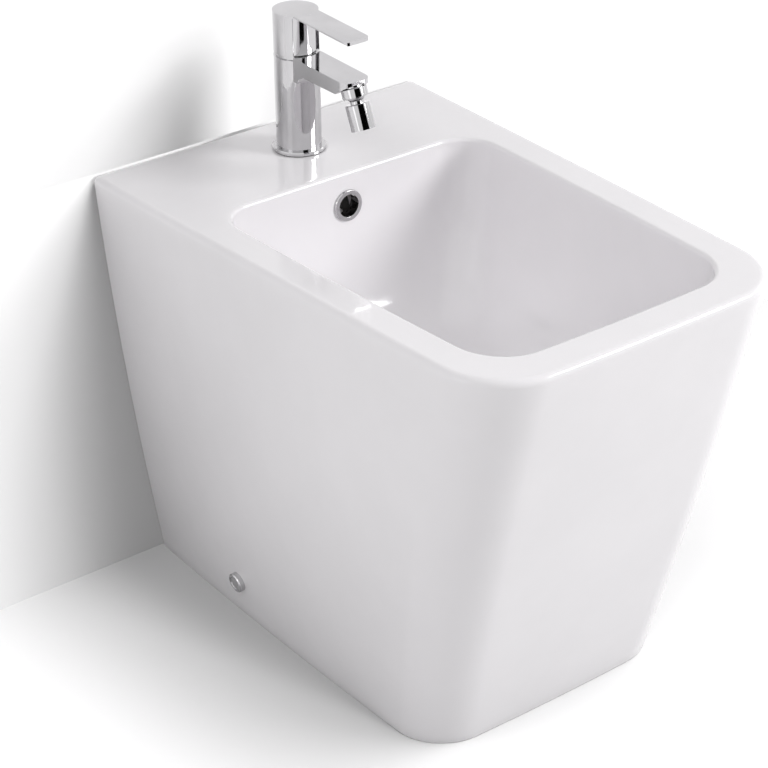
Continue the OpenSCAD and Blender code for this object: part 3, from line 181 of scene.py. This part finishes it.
def rectangle(half_w, back, front, back_r, front_r):
    """Rounded rectangle of straight sides and quarter circles, anticlockwise from the middle of its back."""
    def quarter(cx, cy, r, start):
        a = np.radians(start + 90 * np.linspace(0, 1, CORNER_N + 1))
        return np.stack([cx + r * np.cos(a), cy + r * np.sin(a)], axis=-1)

    def between(p, q, n):
        t = (np.arange(1, n) / n)[:, None]
        return np.asarray(p) * (1 - t) + np.asarray(q) * t

    w = half_w
    return np.concatenate([
        [[0.0, back]],
        between((0, back), (-w + back_r, back), HALF_BACK_N),
        quarter(-w + back_r, back - back_r, back_r, 90),
        between((-w, back - back_r), (-w, front + front_r), SIDE_N),
        quarter(-w + front_r, front + front_r, front_r, 180),
        between((-w + front_r, front), (w - front_r, front), FRONT_N),
        quarter(w - front_r, front + front_r, front_r, 270),
        between((w, front + front_r), (w, back - back_r), SIDE_N),
        quarter(w - back_r, back - back_r, back_r, 0),
        between((w - back_r, back), (0, back), HALF_BACK_N),
    ])


def outline(half_w, back, front, back_r, front_r, taper, bulge, bow):
    """Rounded rectangle, narrowed towards the front, with bulged sides and a bowed front.

    With u from -1 at the front to 1 at the back and v = x / half_w, x is scaled by
    1 - taper (1 - u) / 2 + bulge (1 - u^2), and y drops by bow (1 - v^2) (1 - u) / 2.
    """
    p = rectangle(half_w, back, front, back_r, front_r)
    u = (2 * p[:, 1] - back - front) / (back - front)
    v = p[:, 0] / half_w
    x = p[:, 0] * (1 - taper * (1 - u) / 2 + bulge * (1 - u * u))
    y = p[:, 1] - bow * (1 - v * v) * np.maximum(0, (1 - u) / 2)
    return np.stack([x, y], axis=-1)


def at_height(points, z):
    """Points of a plan, lifted to the height z."""
    return np.column_stack([points, np.full(len(points), z)])


def skirt_ring(z, inset):
    """Section of the skirt at height z, drawn in by inset."""
    t = z / BODY_H
    side = t + SIDE_SWELL * t * (1 - t)
    return at_height(outline(
        mix(FOOT_W, BODY_W, side) / 2 - inset,
        WALL_Y - inset,
        mix(FOOT_FRONT_Y, RIM_FRONT_Y, t) + inset,
        max(BACK_CORNER_R - inset, TIGHTEST_R),
        mix(FOOT_CORNER_R, RIM_CORNER_R, t) - inset,
        mix(FOOT_TAPER, RIM_TAPER, t),
        mix(FOOT_BULGE, RIM_BULGE, t),
        FRONT_BOW,
    ), z)


def mouth(grow):
    """Outline of the bowl's mouth, let out by grow."""
    return outline(
        BOWL_W / 2 + grow, BOWL_BACK_Y + grow, BOWL_FRONT_Y - grow,
        BOWL_BACK_R + grow, BOWL_FRONT_R + grow, BOWL_TAPER, BOWL_BULGE, FRONT_BOW,
    )


RING_N = len(mouth(0))


def waste_circle(r):
    """Circle round the waste, with as many points as an outline."""
    a = np.radians(90 + 360 * np.arange(RING_N) / RING_N)
    return np.stack([r * np.cos(a), WASTE_Y + r * np.sin(a)], axis=-1)


def bowl_ring(angle, grow, top, depth, r):
    """Ring of the bowl at an angle of its side profile, a superellipse of power BOWL_POWER.

    At 0 it is the mouth and at 90 degrees the circle of radius r round the waste; in between the two
    outlines are mixed by 1 - cos(a)^(2/n), and the height drops by depth sin(a)^(2/n).
    """
    k = 2 / BOWL_POWER
    a = math.radians(angle)
    across = 1 - max(math.cos(a), 0) ** k
    down = math.sin(a) ** k
    return at_height(mix(mouth(grow), waste_circle(r), across), top - depth * down)


def round_over(n):
    """Pairs (in, up) of a quarter circle of radius 1, from its flat end to its upright end."""
    a = np.radians(90 * np.arange(n + 1) / n)
    return np.stack([1 - np.cos(a), np.sin(a)], axis=-1)


def ceramic_rings():
    """Every ring of the body once round its wall: up the waste hole, bowl, rim, skirt, and back up inside."""
    bowl_n, under_n, skirt_n, inner_n, lip_n, edge_n, few_n = 40, 16, 40, 14, 8, 10, 4
    across_seat, across_deck = (0.33, 0.67), (0.04, 0.35, 0.65, 0.96)
    rings = [
        at_height(waste_circle(WASTE_HOLE_R), SEAT_Z - WASTE_BOSS_H * (1 - i / few_n))
        for i in range(few_n)
    ]
    rings += [
        at_height(waste_circle(WASTE_HOLE_R + WASTE_EDGE_R * inwards), SEAT_Z - WASTE_EDGE_R * (1 - up))
        for inwards, up in round_over(few_n)
    ]
    rings += [
        at_height(waste_circle(mix(WASTE_HOLE_R + WASTE_EDGE_R, WASTE_SEAT_R, t)), SEAT_Z)
        for t in across_seat
    ]
    rings += [
        bowl_ring(90 * (1 - i / bowl_n), 0, BODY_H - BOWL_EDGE_R, BOWL_DEPTH - BOWL_EDGE_R, WASTE_SEAT_R)
        for i in range(bowl_n + 1)
    ]
    rings += [
        at_height(mouth(BOWL_EDGE_R * inwards), BODY_H - BOWL_EDGE_R * (1 - up))
        for inwards, up in round_over(lip_n)[1:]
    ]
    lip, edge = mouth(BOWL_EDGE_R), skirt_ring(BODY_H, RIM_EDGE_R)[:, :2]
    rings += [at_height(mix(lip, edge, t), BODY_H) for t in across_deck]
    rings += [
        skirt_ring(BODY_H - RIM_EDGE_R * (1 - up), RIM_EDGE_R * inwards)
        for inwards, up in round_over(edge_n)[::-1]
    ]
    rings += [
        skirt_ring(mix(BODY_H - RIM_EDGE_R, FOOT_EDGE_R, i / skirt_n), 0)
        for i in range(1, skirt_n + 1)
    ]
    rings += [
        skirt_ring(FOOT_EDGE_R * (1 - up), FOOT_EDGE_R * inwards)
        for inwards, up in round_over(few_n)[1:]
    ]
    rings += [skirt_ring((BODY_H - DECK_T) * i / inner_n, WALL) for i in range(inner_n + 1)]
    rings += [
        bowl_ring(90 * i / under_n, WALL, BODY_H - DECK_T, BOWL_DEPTH - DECK_T + WALL, BOSS_R + WALL)
        for i in range(under_n)
    ]
    rings += [
        at_height(waste_circle(BOSS_R + WALL / 4), SEAT_Z - WALL),
        at_height(waste_circle(BOSS_R), SEAT_Z - WASTE_BOSS_H),
    ]
    return np.stack(rings)


def cylinder(name, r, start, end):
    """Cylinder of radius r from one point to another, in millimetres."""
    steps = 64
    a = np.linspace(0, 2 * math.pi, steps, endpoint=False)
    start, end = np.asarray(start, float), np.asarray(end, float)
    along = (end - start) / np.linalg.norm(end - start)
    side = np.cross(along, [0.0, 0.0, 1.0] if abs(along[2]) < 0.9 else [1.0, 0.0, 0.0])
    side /= np.linalg.norm(side)
    ring = r * (np.cos(a)[:, None] * side + np.sin(a)[:, None] * np.cross(along, side))
    return capped(name, np.stack([start + ring, end + ring]))


def duct(name, r, top, front):
    """Round bar of radius r that runs down behind the bowl, round a quarter bend, and forward to the waste.

    With b for DUCT_BEND_R, its middle at an angle t of the bend is at
    y = DUCT_Y - b (1 - cos t), z = DUCT_Z + b (1 - sin t).
    """
    steps, bend_n = 48, 8
    t = np.radians(90 * np.linspace(0, 1, bend_n + 1))
    turn = np.concatenate([[0.0], t, [math.pi / 2]])[:, None]
    y = np.concatenate([[DUCT_Y], DUCT_Y - DUCT_BEND_R * (1 - np.cos(t)), [front]])[:, None]
    z = np.concatenate([[top], DUCT_Z + DUCT_BEND_R * (1 - np.sin(t)), [DUCT_Z]])[:, None]
    a = 2 * math.pi * np.arange(steps)[None, :] / steps
    across, out = r * np.cos(a) + 0 * turn, r * np.sin(a)
    return capped(name, np.stack([across, y + out * np.cos(turn), z - out * np.sin(turn)], axis=-1))


def back_opening(name):
    """Cutter for the pipe opening in the wall side: an upright arch outline pushed through the wall.

    Its outline grows by a quarter circle of radius flare at both faces of the wall, which rounds the edges.
    It starts at low, under the foot.
    """
    w, h, r, flare = BACK_OPEN_W / 2, BACK_OPEN_H, BACK_OPEN_R, BACK_OPEN_EDGE_R
    near, far, past = WALL_Y, WALL_Y - WALL, 5.0
    low, corner_n = -30.0, 8
    a = np.radians(90 * np.linspace(0, 1, corner_n + 1))

    def arch(grow):
        right = np.stack([w - r + (r + grow) * np.cos(a), h - r + (r + grow) * np.sin(a)], axis=-1)
        left = np.stack([-w + r - (r + grow) * np.sin(a), h - r + (r + grow) * np.cos(a)], axis=-1)
        return np.concatenate([[[w + grow, low]], right, left, [[-w - grow, low]]])

    turns = np.radians([8, 30, 52, 74, 90])
    outer = [(near - flare + flare * math.cos(t), flare * (1 - math.sin(t))) for t in turns]
    inner = [(far + flare - flare * math.cos(t), flare * (1 - math.sin(t))) for t in turns[::-1]]
    sections = [(near + past, outer[0][1] + flare), *outer, *inner, (far - past, inner[-1][1] + flare)]
    return capped(name, np.stack([
        np.column_stack([p[:, 0], np.full(len(p), y), p[:, 1]])
        for y, grow in sections for p in [arch(grow)]
    ]))


def ceramic_body():
    """The whole fired body, with its overflow, tap hole, side holes and pipe opening.

    The waste's cutter only clears the duct's clay out of the hole, and ends just under its rounded edge.
    """
    under_edge = 0.5
    body = looped("glazed_body", ceramic_rings())
    combined(body, "UNION", duct("duct_clay", DUCT_OUT_R, BODY_H - DECK_T / 2, WASTE_Y + BOSS_R / 2))
    side_x = skirt_ring(FIX_Z, 0)[:, 0].max() + PAST
    deck_low, deck_high = BODY_H - DECK_T - PAST, BODY_H + PAST
    boss_low, boss_high = SEAT_Z - WASTE_BOSS_H - PAST, SEAT_Z - WASTE_EDGE_R - under_edge
    bowl_y = BOWL_BACK_Y - PAST
    combined(
        body, "DIFFERENCE",
        back_opening("opening_cutter"),
        cylinder("tap_hole_cutter", TAP_HOLE_R, (0, TAP_Y, deck_low), (0, TAP_Y, deck_high)),
        duct("duct_cutter", DUCT_R, OVERFLOW_Z, WASTE_Y),
        cylinder("overflow_cutter", OVERFLOW_HOLE_R, (0, bowl_y, OVERFLOW_Z), (0, DUCT_Y, OVERFLOW_Z)),
        cylinder("waste_cutter", WASTE_HOLE_R, (0, WASTE_Y, boss_low), (0, WASTE_Y, boss_high)),
        cylinder("side_cutter", FIX_HOLE_R, (-side_x, FIX_Y, FIX_Z), (side_x, FIX_Y, FIX_Z)),
    )
    smooth_by_angle(body, degrees=38)
    return body


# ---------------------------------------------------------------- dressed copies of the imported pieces

def softened(piece, width_mm):
    """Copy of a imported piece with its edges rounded, to stand for it.

    Points in the same place are merged, and so are faces of the same plane, before the edges are rounded.
    """
    same_place, same_plane = 1e-6, math.radians(0.4)
    copy = bpy.data.objects.new(piece + "_finished", frame["nodes"][piece].data.copy())
    bpy.context.collection.objects.link(copy)
    bm = bmesh.new()
    bm.from_mesh(copy.data)
    bmesh.ops.remove_doubles(bm, verts=bm.verts, dist=same_place)
    bmesh.ops.dissolve_limit(
        bm, angle_limit=same_plane, verts=bm.verts, edges=bm.edges, delimit={"NORMAL"},
    )
    bm.to_mesh(copy.data)
    bm.free()
    bevel = copy.modifiers.new("edges", "BEVEL")
    bevel.width = width_mm * MM
    bevel.segments = 3
    bevel.limit_method = "ANGLE"
    bevel.angle_limit = math.radians(28)
    bevel.use_clamp_overlap = True
    bevel.harden_normals = False
    bevel.miter_outer = "MITER_ARC"
    evaluated(copy)
    smooth_by_angle(copy, degrees=40)
    weighted = copy.modifiers.new("even_flats", "WEIGHTED_NORMAL")
    weighted.keep_sharp = True
    weighted.weight = 60
    return copy


# ---------------------------------------------------------------- materials

def node(tree, kind, **settings):
    """New node; settings named like its properties are set, and other values go to its sockets."""
    made = tree.nodes.new(kind)
    for key, value in settings.items():
        if hasattr(made, key):
            setattr(made, key, value)
        else:
            made.inputs[key.replace("_", " ")].default_value = value
    return made


def blotches_group():
    """Node group: soft cloudy mask between two values, over Object coordinates."""
    group = bpy.data.node_groups.new("soft_blotches", "ShaderNodeTree")
    for name, value in (("Scale", 20.0), ("Detail", 3.0), ("Low", 0.0), ("High", 1.0)):
        socket = group.interface.new_socket(name, in_out="INPUT", socket_type="NodeSocketFloat")
        socket.default_value = value
    group.interface.new_socket("Value", in_out="OUTPUT", socket_type="NodeSocketFloat")
    inputs, outputs = group.nodes.new("NodeGroupInput"), group.nodes.new("NodeGroupOutput")
    place = group.nodes.new("ShaderNodeTexCoord")
    noise = node(group, "ShaderNodeTexNoise", Roughness=0.55)
    spread = node(group, "ShaderNodeMapRange")
    spread.inputs["From Min"].default_value = 0.35
    spread.inputs["From Max"].default_value = 0.65
    group.links.new(place.outputs["Object"], noise.inputs["Vector"])
    group.links.new(inputs.outputs["Scale"], noise.inputs["Scale"])
    group.links.new(inputs.outputs["Detail"], noise.inputs["Detail"])
    group.links.new(noise.outputs["Fac"], spread.inputs["Value"])
    group.links.new(inputs.outputs["Low"], spread.inputs["To Min"])
    group.links.new(inputs.outputs["High"], spread.inputs["To Max"])
    group.links.new(spread.outputs["Result"], outputs.inputs["Value"])
    return group


BLOTCHES = blotches_group()


def blotches(tree, scale, low, high, detail=3.0):
    """Places the soft blotches group in a material and returns its output."""
    made = tree.nodes.new("ShaderNodeGroup")
    made.node_tree = BLOTCHES
    for name, value in (("Scale", scale), ("Detail", detail), ("Low", low), ("High", high)):
        made.inputs[name].default_value = value
    return made.outputs["Value"]


def base(name, **sockets):
    """New material with a Principled BSDF; returns the material, its tree and the shader."""
    material = bpy.data.materials.new(name)
    material.use_nodes = True
    tree = material.node_tree
    shader = tree.nodes["Principled BSDF"]
    for key, value in sockets.items():
        shader.inputs[key.replace("_", " ")].default_value = value
    return material, tree, shader


# Places of a Mix node's colour sockets: its share, its first and second colour, and what it puts out
MIX_SHARE, MIX_FIRST, MIX_SECOND, MIX_OUT = 0, 6, 7, 2


def colour_mix(tree, share, second):
    """Mix node from a first colour, set by the caller, to the second one where the share goes from 0 to 1."""
    made = node(tree, "ShaderNodeMix", data_type="RGBA")
    made.inputs[MIX_SECOND].default_value = (*second, 1)
    tree.links.new(share, made.inputs[MIX_SHARE])
    return made


def shaded(tree, shader, low, high, scale):
    """Lets the base colour drift between two colours in soft blotches, and returns the drifting colour."""
    drift = colour_mix(tree, blotches(tree, scale, 0, 1), high)
    drift.inputs[MIX_FIRST].default_value = (*low, 1)
    tree.links.new(drift.outputs[MIX_OUT], shader.inputs["Base Color"])
    return drift.outputs[MIX_OUT]


def rough(tree, shader, low, high, scale):
    """Lets the roughness drift between two values in soft blotches."""
    tree.links.new(blotches(tree, scale, low, high, detail=4), shader.inputs["Roughness"])


def bumped(tree, shader, height, distance, strength):
    """Bump from a height output, with its depth in metres."""
    bump = node(tree, "ShaderNodeBump")
    bump.inputs["Strength"].default_value = strength
    bump.inputs["Distance"].default_value = distance
    tree.links.new(height, bump.inputs["Height"])
    tree.links.new(bump.outputs["Normal"], shader.inputs["Normal"])


def overflow_shade_mask(tree):
    """Output that is 1 within a ball that fills the hollow behind the overflow ring, and 0 elsewhere: where
    painted shade goes.
    """
    ball_y, ball_r = DUCT_Y - 3.0, OVERFLOW_HOLE_R + 1.8
    place = tree.nodes.new("ShaderNodeTexCoord")
    distance = node(tree, "ShaderNodeVectorMath", operation="DISTANCE")
    within = node(tree, "ShaderNodeMath", operation="LESS_THAN")
    distance.inputs[1].default_value = (0, ball_y * MM, OVERFLOW_Z * MM)
    within.inputs[1].default_value = ball_r * MM
    tree.links.new(place.outputs["Object"], distance.inputs[0])
    tree.links.new(distance.outputs["Value"], within.inputs[0])
    return within.outputs[0]


def glaze():
    """Glossy white glaze: slight cool tint, faint orange-peel waves, a clear top; near-black painted shade in
    the hollow behind the overflow ring.
    """
    material, tree, shader = base("white_glaze", IOR=1.5, Coat_Weight=0.35, Coat_Roughness=0.03)
    white = shaded(tree, shader, (0.86, 0.843, 0.862), (0.885, 0.867, 0.887), 9)
    # Painted shade: the base colour turns near black in the recess behind the overflow ring, where shade
    # falls
    dark = colour_mix(tree, overflow_shade_mask(tree), (0.045, 0.043, 0.042))
    tree.links.new(white, dark.inputs[MIX_FIRST])
    tree.links.new(dark.outputs[MIX_OUT], shader.inputs["Base Color"])
    rough(tree, shader, 0.10, 0.18, 60)
    bumped(tree, shader, blotches(tree, 26, 0, 1, 2), 0.00025, 0.35)
    return material


def chrome():
    """Polished chrome plate with the faintest water marks; its colours are those of bare chromium."""
    material, tree, shader = base("polished_chrome", Metallic=1.0)
    shaded(tree, shader, (0.53, 0.525, 0.535), (0.58, 0.575, 0.585), 30)
    rough(tree, shader, 0.03, 0.075, 120)
    return material


# How far the roughness of a plain finish drifts below and above its own value
SMOOTHER, ROUGHER = 0.06, 0.08


def metal(name, low, high, roughness):
    """Plain bare metal: a very fine grain in its bump, and a drifting roughness."""
    material, tree, shader = base(name, Metallic=1.0)
    shaded(tree, shader, low, high, 60)
    rough(tree, shader, roughness - SMOOTHER, roughness + ROUGHER, 90)
    bumped(tree, shader, blotches(tree, 900, 0, 1, 2), 0.00003, 0.5)
    return material


def moulded(name, low, high, roughness, grain):
    """Moulded plastic or rubber: fine grain in its bump and a drifting roughness."""
    material, tree, shader = base(name)
    shaded(tree, shader, low, high, 45)
    rough(tree, shader, roughness - SMOOTHER, roughness + ROUGHER, 140)
    bumped(tree, shader, blotches(tree, grain, 0, 1, 3), 0.00004, 0.6)
    return material


MATERIALS = {
    "ceramic": glaze(),
    "chrome": chrome(),
    "steel": metal("stainless_steel", (0.50, 0.51, 0.52), (0.60, 0.61, 0.62), 0.28),
    "brass": metal("turned_brass", (0.60, 0.44, 0.18), (0.72, 0.55, 0.26), 0.3),
    "rubber": moulded("black_rubber", (0.018, 0.018, 0.018), (0.035, 0.034, 0.033), 0.62, 700),
    "plastic": moulded("white_plastic", (0.74, 0.74, 0.72), (0.80, 0.80, 0.78), 0.38, 500),
    "grey_plastic": moulded("grey_plastic", (0.20, 0.21, 0.22), (0.27, 0.28, 0.29), 0.42, 600),
    "disc": moulded("lapped_disc", (0.68, 0.65, 0.58), (0.76, 0.73, 0.66), 0.3, 900),
}

slot_of = {part["node"]: part["material_slot"] for part in frame["record"]["subparts"]}
body_of = {name: body for body, names in frame["record"]["behaviour"]["bodies"].items() for name in names}


def dress(obj, slot):
    """Gives obj the material of a slot, and no other."""
    obj.data.materials.clear()
    obj.data.materials.append(MATERIALS[slot])


for name, obj in frame["nodes"].items():
    dress(obj, slot_of[name])


def stand_for(obj, name):
    """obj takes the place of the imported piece: its body, its slot and its material."""
    dress(obj, slot_of[name])
    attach(obj, body_of[name])
    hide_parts(name)


stand_for(ceramic_body(), "ceramic_body")

# Edge radius of each visible piece, in millimetres
EDGES = {
    "tap_body": 0.7, "handle": 0.6, "base_ring": 0.35, "dome_ring": 0.2, "outlet_collar": 0.4,
    "nozzle_shell": 0.5, "swivel_ball": 0.2, "overflow_ring": 0.3, "screw_plug": 0.3,
    "cover_cap_left": 0.3, "cover_cap_right": 0.3, "waste_plug": 0.5, "waste_body": 0.3,
    "trap_inlet_nut": 0.6, "trap_neck_nut": 0.6, "trap_outlet_nut": 0.6, "trap_cup": 0.5, "trap_bottle": 0.6,
    "trap_outlet_pipe": 0.3, "waste_backnut": 0.5, "bracket_left": 0.4, "bracket_right": 0.4,
    "stud_nut": 0.4, "horseshoe_plate": 0.3,
}
for name, width in EDGES.items():
    stand_for(softened(name, width), name)


# ---------------------------------------------------------------- studio

# Place, then turn from +Y towards +X, tilt and roll in radians, and focal length in millimetres
CAMERA_AT = (-1.17378, -1.45184, 1.28844)
CAMERA_TURN, CAMERA_TILT, CAMERA_ROLL = 0.65419, -0.50870, -0.01205
LENS = 114.36


def photo_camera():
    """Camera at the photograph's viewing angle, built from its turn, tilt and roll."""
    st, ct = math.sin(CAMERA_TURN), math.cos(CAMERA_TURN)
    forward = Vector((st * math.cos(CAMERA_TILT), ct * math.cos(CAMERA_TILT), math.sin(CAMERA_TILT)))
    right = Vector((ct, -st, 0))
    up = right.cross(forward)
    c, s = math.cos(CAMERA_ROLL), math.sin(CAMERA_ROLL)
    right, up = right * c + up * s, up * c - right * s
    turn = Matrix((right, up, -forward)).transposed().to_4x4()
    data = bpy.data.cameras.new("camera")
    data.lens = LENS
    data.sensor_width = 36
    data.clip_start, data.clip_end = 0.05, 30
    camera = bpy.data.objects.new("camera", data)
    camera.matrix_world = Matrix.Translation(CAMERA_AT) @ turn
    bpy.context.collection.objects.link(camera)
    bpy.context.scene.camera = camera


def lamp(name, at, towards, size, watts):
    """Square area lamp at a point, facing another."""
    data = bpy.data.lights.new(name, "AREA")
    data.shape = "SQUARE"
    data.size = size
    data.energy = watts
    obj = bpy.data.objects.new(name, data)
    at, towards = Vector(at), Vector(towards)
    obj.matrix_world = Matrix.Translation(at) @ (at - towards).to_track_quat("Z", "Y").to_matrix().to_4x4()
    bpy.context.collection.objects.link(obj)
    return obj


def sun(name, rise, turn, width, strength):
    """Far lamp from a rise above the floor and a turn from the front towards the right, in degrees."""
    data = bpy.data.lights.new(name, "SUN")
    data.angle = math.radians(width)
    data.energy = strength
    obj = bpy.data.objects.new(name, data)
    rise, turn = math.radians(rise), math.radians(turn)
    direction = Vector((math.cos(rise) * math.sin(turn), -math.cos(rise) * math.cos(turn), math.sin(rise)))
    obj.matrix_world = direction.to_track_quat("Z", "Y").to_matrix().to_4x4()
    bpy.context.collection.objects.link(obj)
    return obj


def direct_view(tree):
    """Output that is 1 for rays from the camera, mirrors and clear pieces, and 0 for soft bounced light."""
    path = node(tree, "ShaderNodeLightPath")
    seen = path.outputs["Is Camera Ray"]
    for other in ("Is Glossy Ray", "Is Transmission Ray"):
        either = node(tree, "ShaderNodeMath", operation="MAXIMUM")
        tree.links.new(seen, either.inputs[0])
        tree.links.new(path.outputs[other], either.inputs[1])
        seen = either.outputs[0]
    return seen


def stage_material(name, one_sided):
    """Pale matt surface that keeps the shadow; soft bounced light finds it darker than the eye does."""
    material = bpy.data.materials.new(name)
    material.use_nodes = True
    tree = material.node_tree
    tree.nodes.clear()
    out = tree.nodes.new("ShaderNodeOutputMaterial")
    matt = node(tree, "ShaderNodeBsdfDiffuse")
    colour = colour_mix(tree, direct_view(tree), STAGE_SEEN)
    colour.inputs[MIX_FIRST].default_value = (*STAGE_BOUNCED, 1)
    tree.links.new(colour.outputs[MIX_OUT], matt.inputs["Color"])
    surface = matt
    if one_sided:
        clear = node(tree, "ShaderNodeBsdfTransparent")
        sides = node(tree, "ShaderNodeNewGeometry")
        surface = node(tree, "ShaderNodeMixShader")
        tree.links.new(sides.outputs["Backfacing"], surface.inputs["Fac"])
        tree.links.new(matt.outputs[0], surface.inputs[1])
        tree.links.new(clear.outputs[0], surface.inputs[2])
    tree.links.new(surface.outputs[0], out.inputs["Surface"])
    return material


def sheet_of(name, corners, one_sided=False):
    """Flat sheet of the stage between its corners; a one-sided one is clear from behind."""
    mesh = bpy.data.meshes.new(name)
    mesh.from_pydata(corners, [], [tuple(range(len(corners)))])
    obj = bpy.data.objects.new(name, mesh)
    obj.data.materials.append(stage_material("pale_" + name, one_sided))
    bpy.context.collection.objects.link(obj)
    return obj


def upright_sheet(name, y, low, high, far, notch=()):
    """Wall from one height to another, facing the front, left open at its foot inside the notch's corners."""
    corners = [(-far, low), *notch, (far, low), (far, high), (-far, high)]
    return sheet_of(name, [(x, y, z) for x, z in corners], one_sided=True)


# Colour of floor and wall as seen, and as soft bounced light finds it; and the level of the world's light
STAGE_SEEN = (0.30, 0.2985, 0.30)
STAGE_BOUNCED = (0.18, 0.179, 0.18)
WORLD_LEVEL = 0.15

# In millimetres: how far the wall stands inside the body's back face, and how much wider on each side and
# how much higher than the pipe opening it is left open
WALL_INSET, BAY_SIDE, BAY_TOP = 0.1, 15.0, 30.0

# Reach of floor and wall, in metres
STAGE_FAR = 6.0

# name: (place, what it faces, size, watts)
LAMPS = {
    "key": ((1.72, -1.80, 1.62), (0, 0, 0.3), 1.0, 47.5),
    "front_left": ((-1.4, -2.2, 1.9), (0, 0, 0.3), 1.2, 17.5),
    "high_left": ((-1.4, -0.2, 2.4), (0, 0, 0.3), 1.2, 11.5),
    "left": ((-2.5, -0.1, 0.9), (0, 0, 0.2), 1.2, 3.6),
    "right": ((2.4, -0.4, 1.2), (0, 0, 0.3), 1.2, 3.6),
    "back": ((0.5, 2.4, 0.9), (0, 0.2, 0.2), 1.2, 22.0),
}

# Lamps without a mirror image of their own in glaze and chrome
SOFT_LAMPS = ("front_left", "high_left")

# How far above the deck a ray has to start to find a flag, in millimetres
OVER_DECK = 0.5

# Dark flags that only mirrors find, held near the tap
# name: (middle of the foot, what it faces, width, height, grey)
FLAGS = {
    "front_flag": ((-0.013, 0.042, 0.432), (0.0, 0.100, 0.432), 0.070, 0.100, 0.004),
}

# Far lamps that light one sheet of the stage alone and throw the shadow there: (rise, turn from the front
# towards the right, width, all in degrees, and strength)
STAGE_SUNS = {
    "floor": ((25, 7, 13, 3.6), (65, 70, 26, 1.7), (65, -90, 26, 2.1), (65, 30, 26, 5.8), (20, -60, 26, 4.2)),
    "low_wall": ((65, 30, 26, 8.3), (42, -60, 26, 4.7), (20, 20, 26, 5.2), (8, 7, 13, 1.3)),
    "high_wall": ((42, 52, 26, 8.1), (65, -30, 26, 7.4), (20, 52, 26, 4.0), (30, 60, 13, 2.8)),
}


def flag_cloth(name, grey):
    """Dark matt cloth, clear to rays that start no higher than the deck, so the tap alone mirrors it.

    A ray that meets the cloth at P, after a length L, with I pointing back along it, starts at P + L I.
    """
    material, tree, shader = base(name, Roughness=0.9, Specular_IOR_Level=0.0)
    shader.inputs["Base Color"].default_value = (grey, grey, grey, 1)
    place, path = tree.nodes.new("ShaderNodeNewGeometry"), tree.nodes.new("ShaderNodeLightPath")
    back = node(tree, "ShaderNodeVectorMath", operation="SCALE")
    start = node(tree, "ShaderNodeVectorMath", operation="ADD")
    parts = tree.nodes.new("ShaderNodeSeparateXYZ")
    above = node(tree, "ShaderNodeMath", operation="GREATER_THAN")
    above.inputs[1].default_value = (BODY_H + OVER_DECK) * MM
    clear = tree.nodes.new("ShaderNodeBsdfTransparent")
    surface = tree.nodes.new("ShaderNodeMixShader")
    tree.links.new(place.outputs["Incoming"], back.inputs[0])
    tree.links.new(path.outputs["Ray Length"], back.inputs["Scale"])
    tree.links.new(back.outputs[0], start.inputs[0])
    tree.links.new(place.outputs["Position"], start.inputs[1])
    tree.links.new(start.outputs[0], parts.inputs[0])
    tree.links.new(parts.outputs["Z"], above.inputs[0])
    tree.links.new(above.outputs[0], surface.inputs["Fac"])
    tree.links.new(clear.outputs[0], surface.inputs[1])
    tree.links.new(shader.outputs[0], surface.inputs[2])
    tree.links.new(surface.outputs[0], tree.nodes["Material Output"].inputs["Surface"])
    return material


def flag(name, foot, towards, width, height, grey):
    """Upright dark card that neither the camera nor soft light meets."""
    foot, towards = Vector(foot), Vector(towards)
    side = (towards - foot).cross(Vector((0, 0, 1))).normalized() * width / 2
    up = Vector((0, 0, height))
    mesh = bpy.data.meshes.new(name)
    mesh.from_pydata([foot - side, foot + side, foot + side + up, foot - side + up], [], [(0, 1, 2, 3)])
    obj = bpy.data.objects.new(name, mesh)
    obj.data.materials.append(flag_cloth(name + "_cloth", grey))
    obj.visible_camera = obj.visible_diffuse = obj.visible_shadow = obj.visible_transmission = False
    bpy.context.collection.objects.link(obj)


def studio():
    """Floor, a wall behind the body that only its front shows, lamps and world."""
    far = STAGE_FAR
    wall_y = (WALL_Y - WALL_INSET) * MM
    seam = BODY_H * MM
    bay_x, bay_z = (BACK_OPEN_W / 2 + BAY_SIDE) * MM, (BACK_OPEN_H + BAY_TOP) * MM
    bay = ((-bay_x, 0), (-bay_x, bay_z), (bay_x, bay_z), (bay_x, 0))
    sheets = (
        sheet_of("floor", [(-far, -far, 0), (far, -far, 0), (far, far, 0), (-far, far, 0)]),
        upright_sheet("low_wall", wall_y, 0, seam, far, bay),
        upright_sheet("high_wall", wall_y, seam, far, far),
    )
    rest = bpy.data.collections.new("all_but_the_stage")
    for sheet in sheets:
        rest.objects.link(sheet)
        lit = bpy.data.collections.new(sheet.name + "_alone")
        lit.objects.link(sheet)
        for number, settings in enumerate(STAGE_SUNS[sheet.name], 1):
            sun(f"{sheet.name}_sun_{number}", *settings).light_linking.receiver_collection = lit
    for link in rest.collection_objects:
        link.light_linking.link_state = "EXCLUDE"
    for name, settings in LAMPS.items():
        made = lamp(name, *settings)
        made.light_linking.receiver_collection = rest
        made.visible_glossy = name not in SOFT_LAMPS
    for name, settings in FLAGS.items():
        flag(name, *settings)
    world = bpy.data.worlds.new("studio_world")
    bpy.context.scene.world = world
    world.use_nodes = True
    tree = world.node_tree
    backdrop = tree.nodes["Background"]
    backdrop.inputs["Color"].default_value = (1, 1, 1, 1)
    level = node(tree, "ShaderNodeMapRange")
    level.inputs["To Min"].default_value = WORLD_LEVEL
    level.inputs["To Max"].default_value = 1.0
    tree.links.new(direct_view(tree), level.inputs["Value"])
    tree.links.new(level.outputs["Result"], backdrop.inputs["Strength"])
    bpy.context.scene.view_settings.view_transform = "Standard"


photo_camera()
studio()
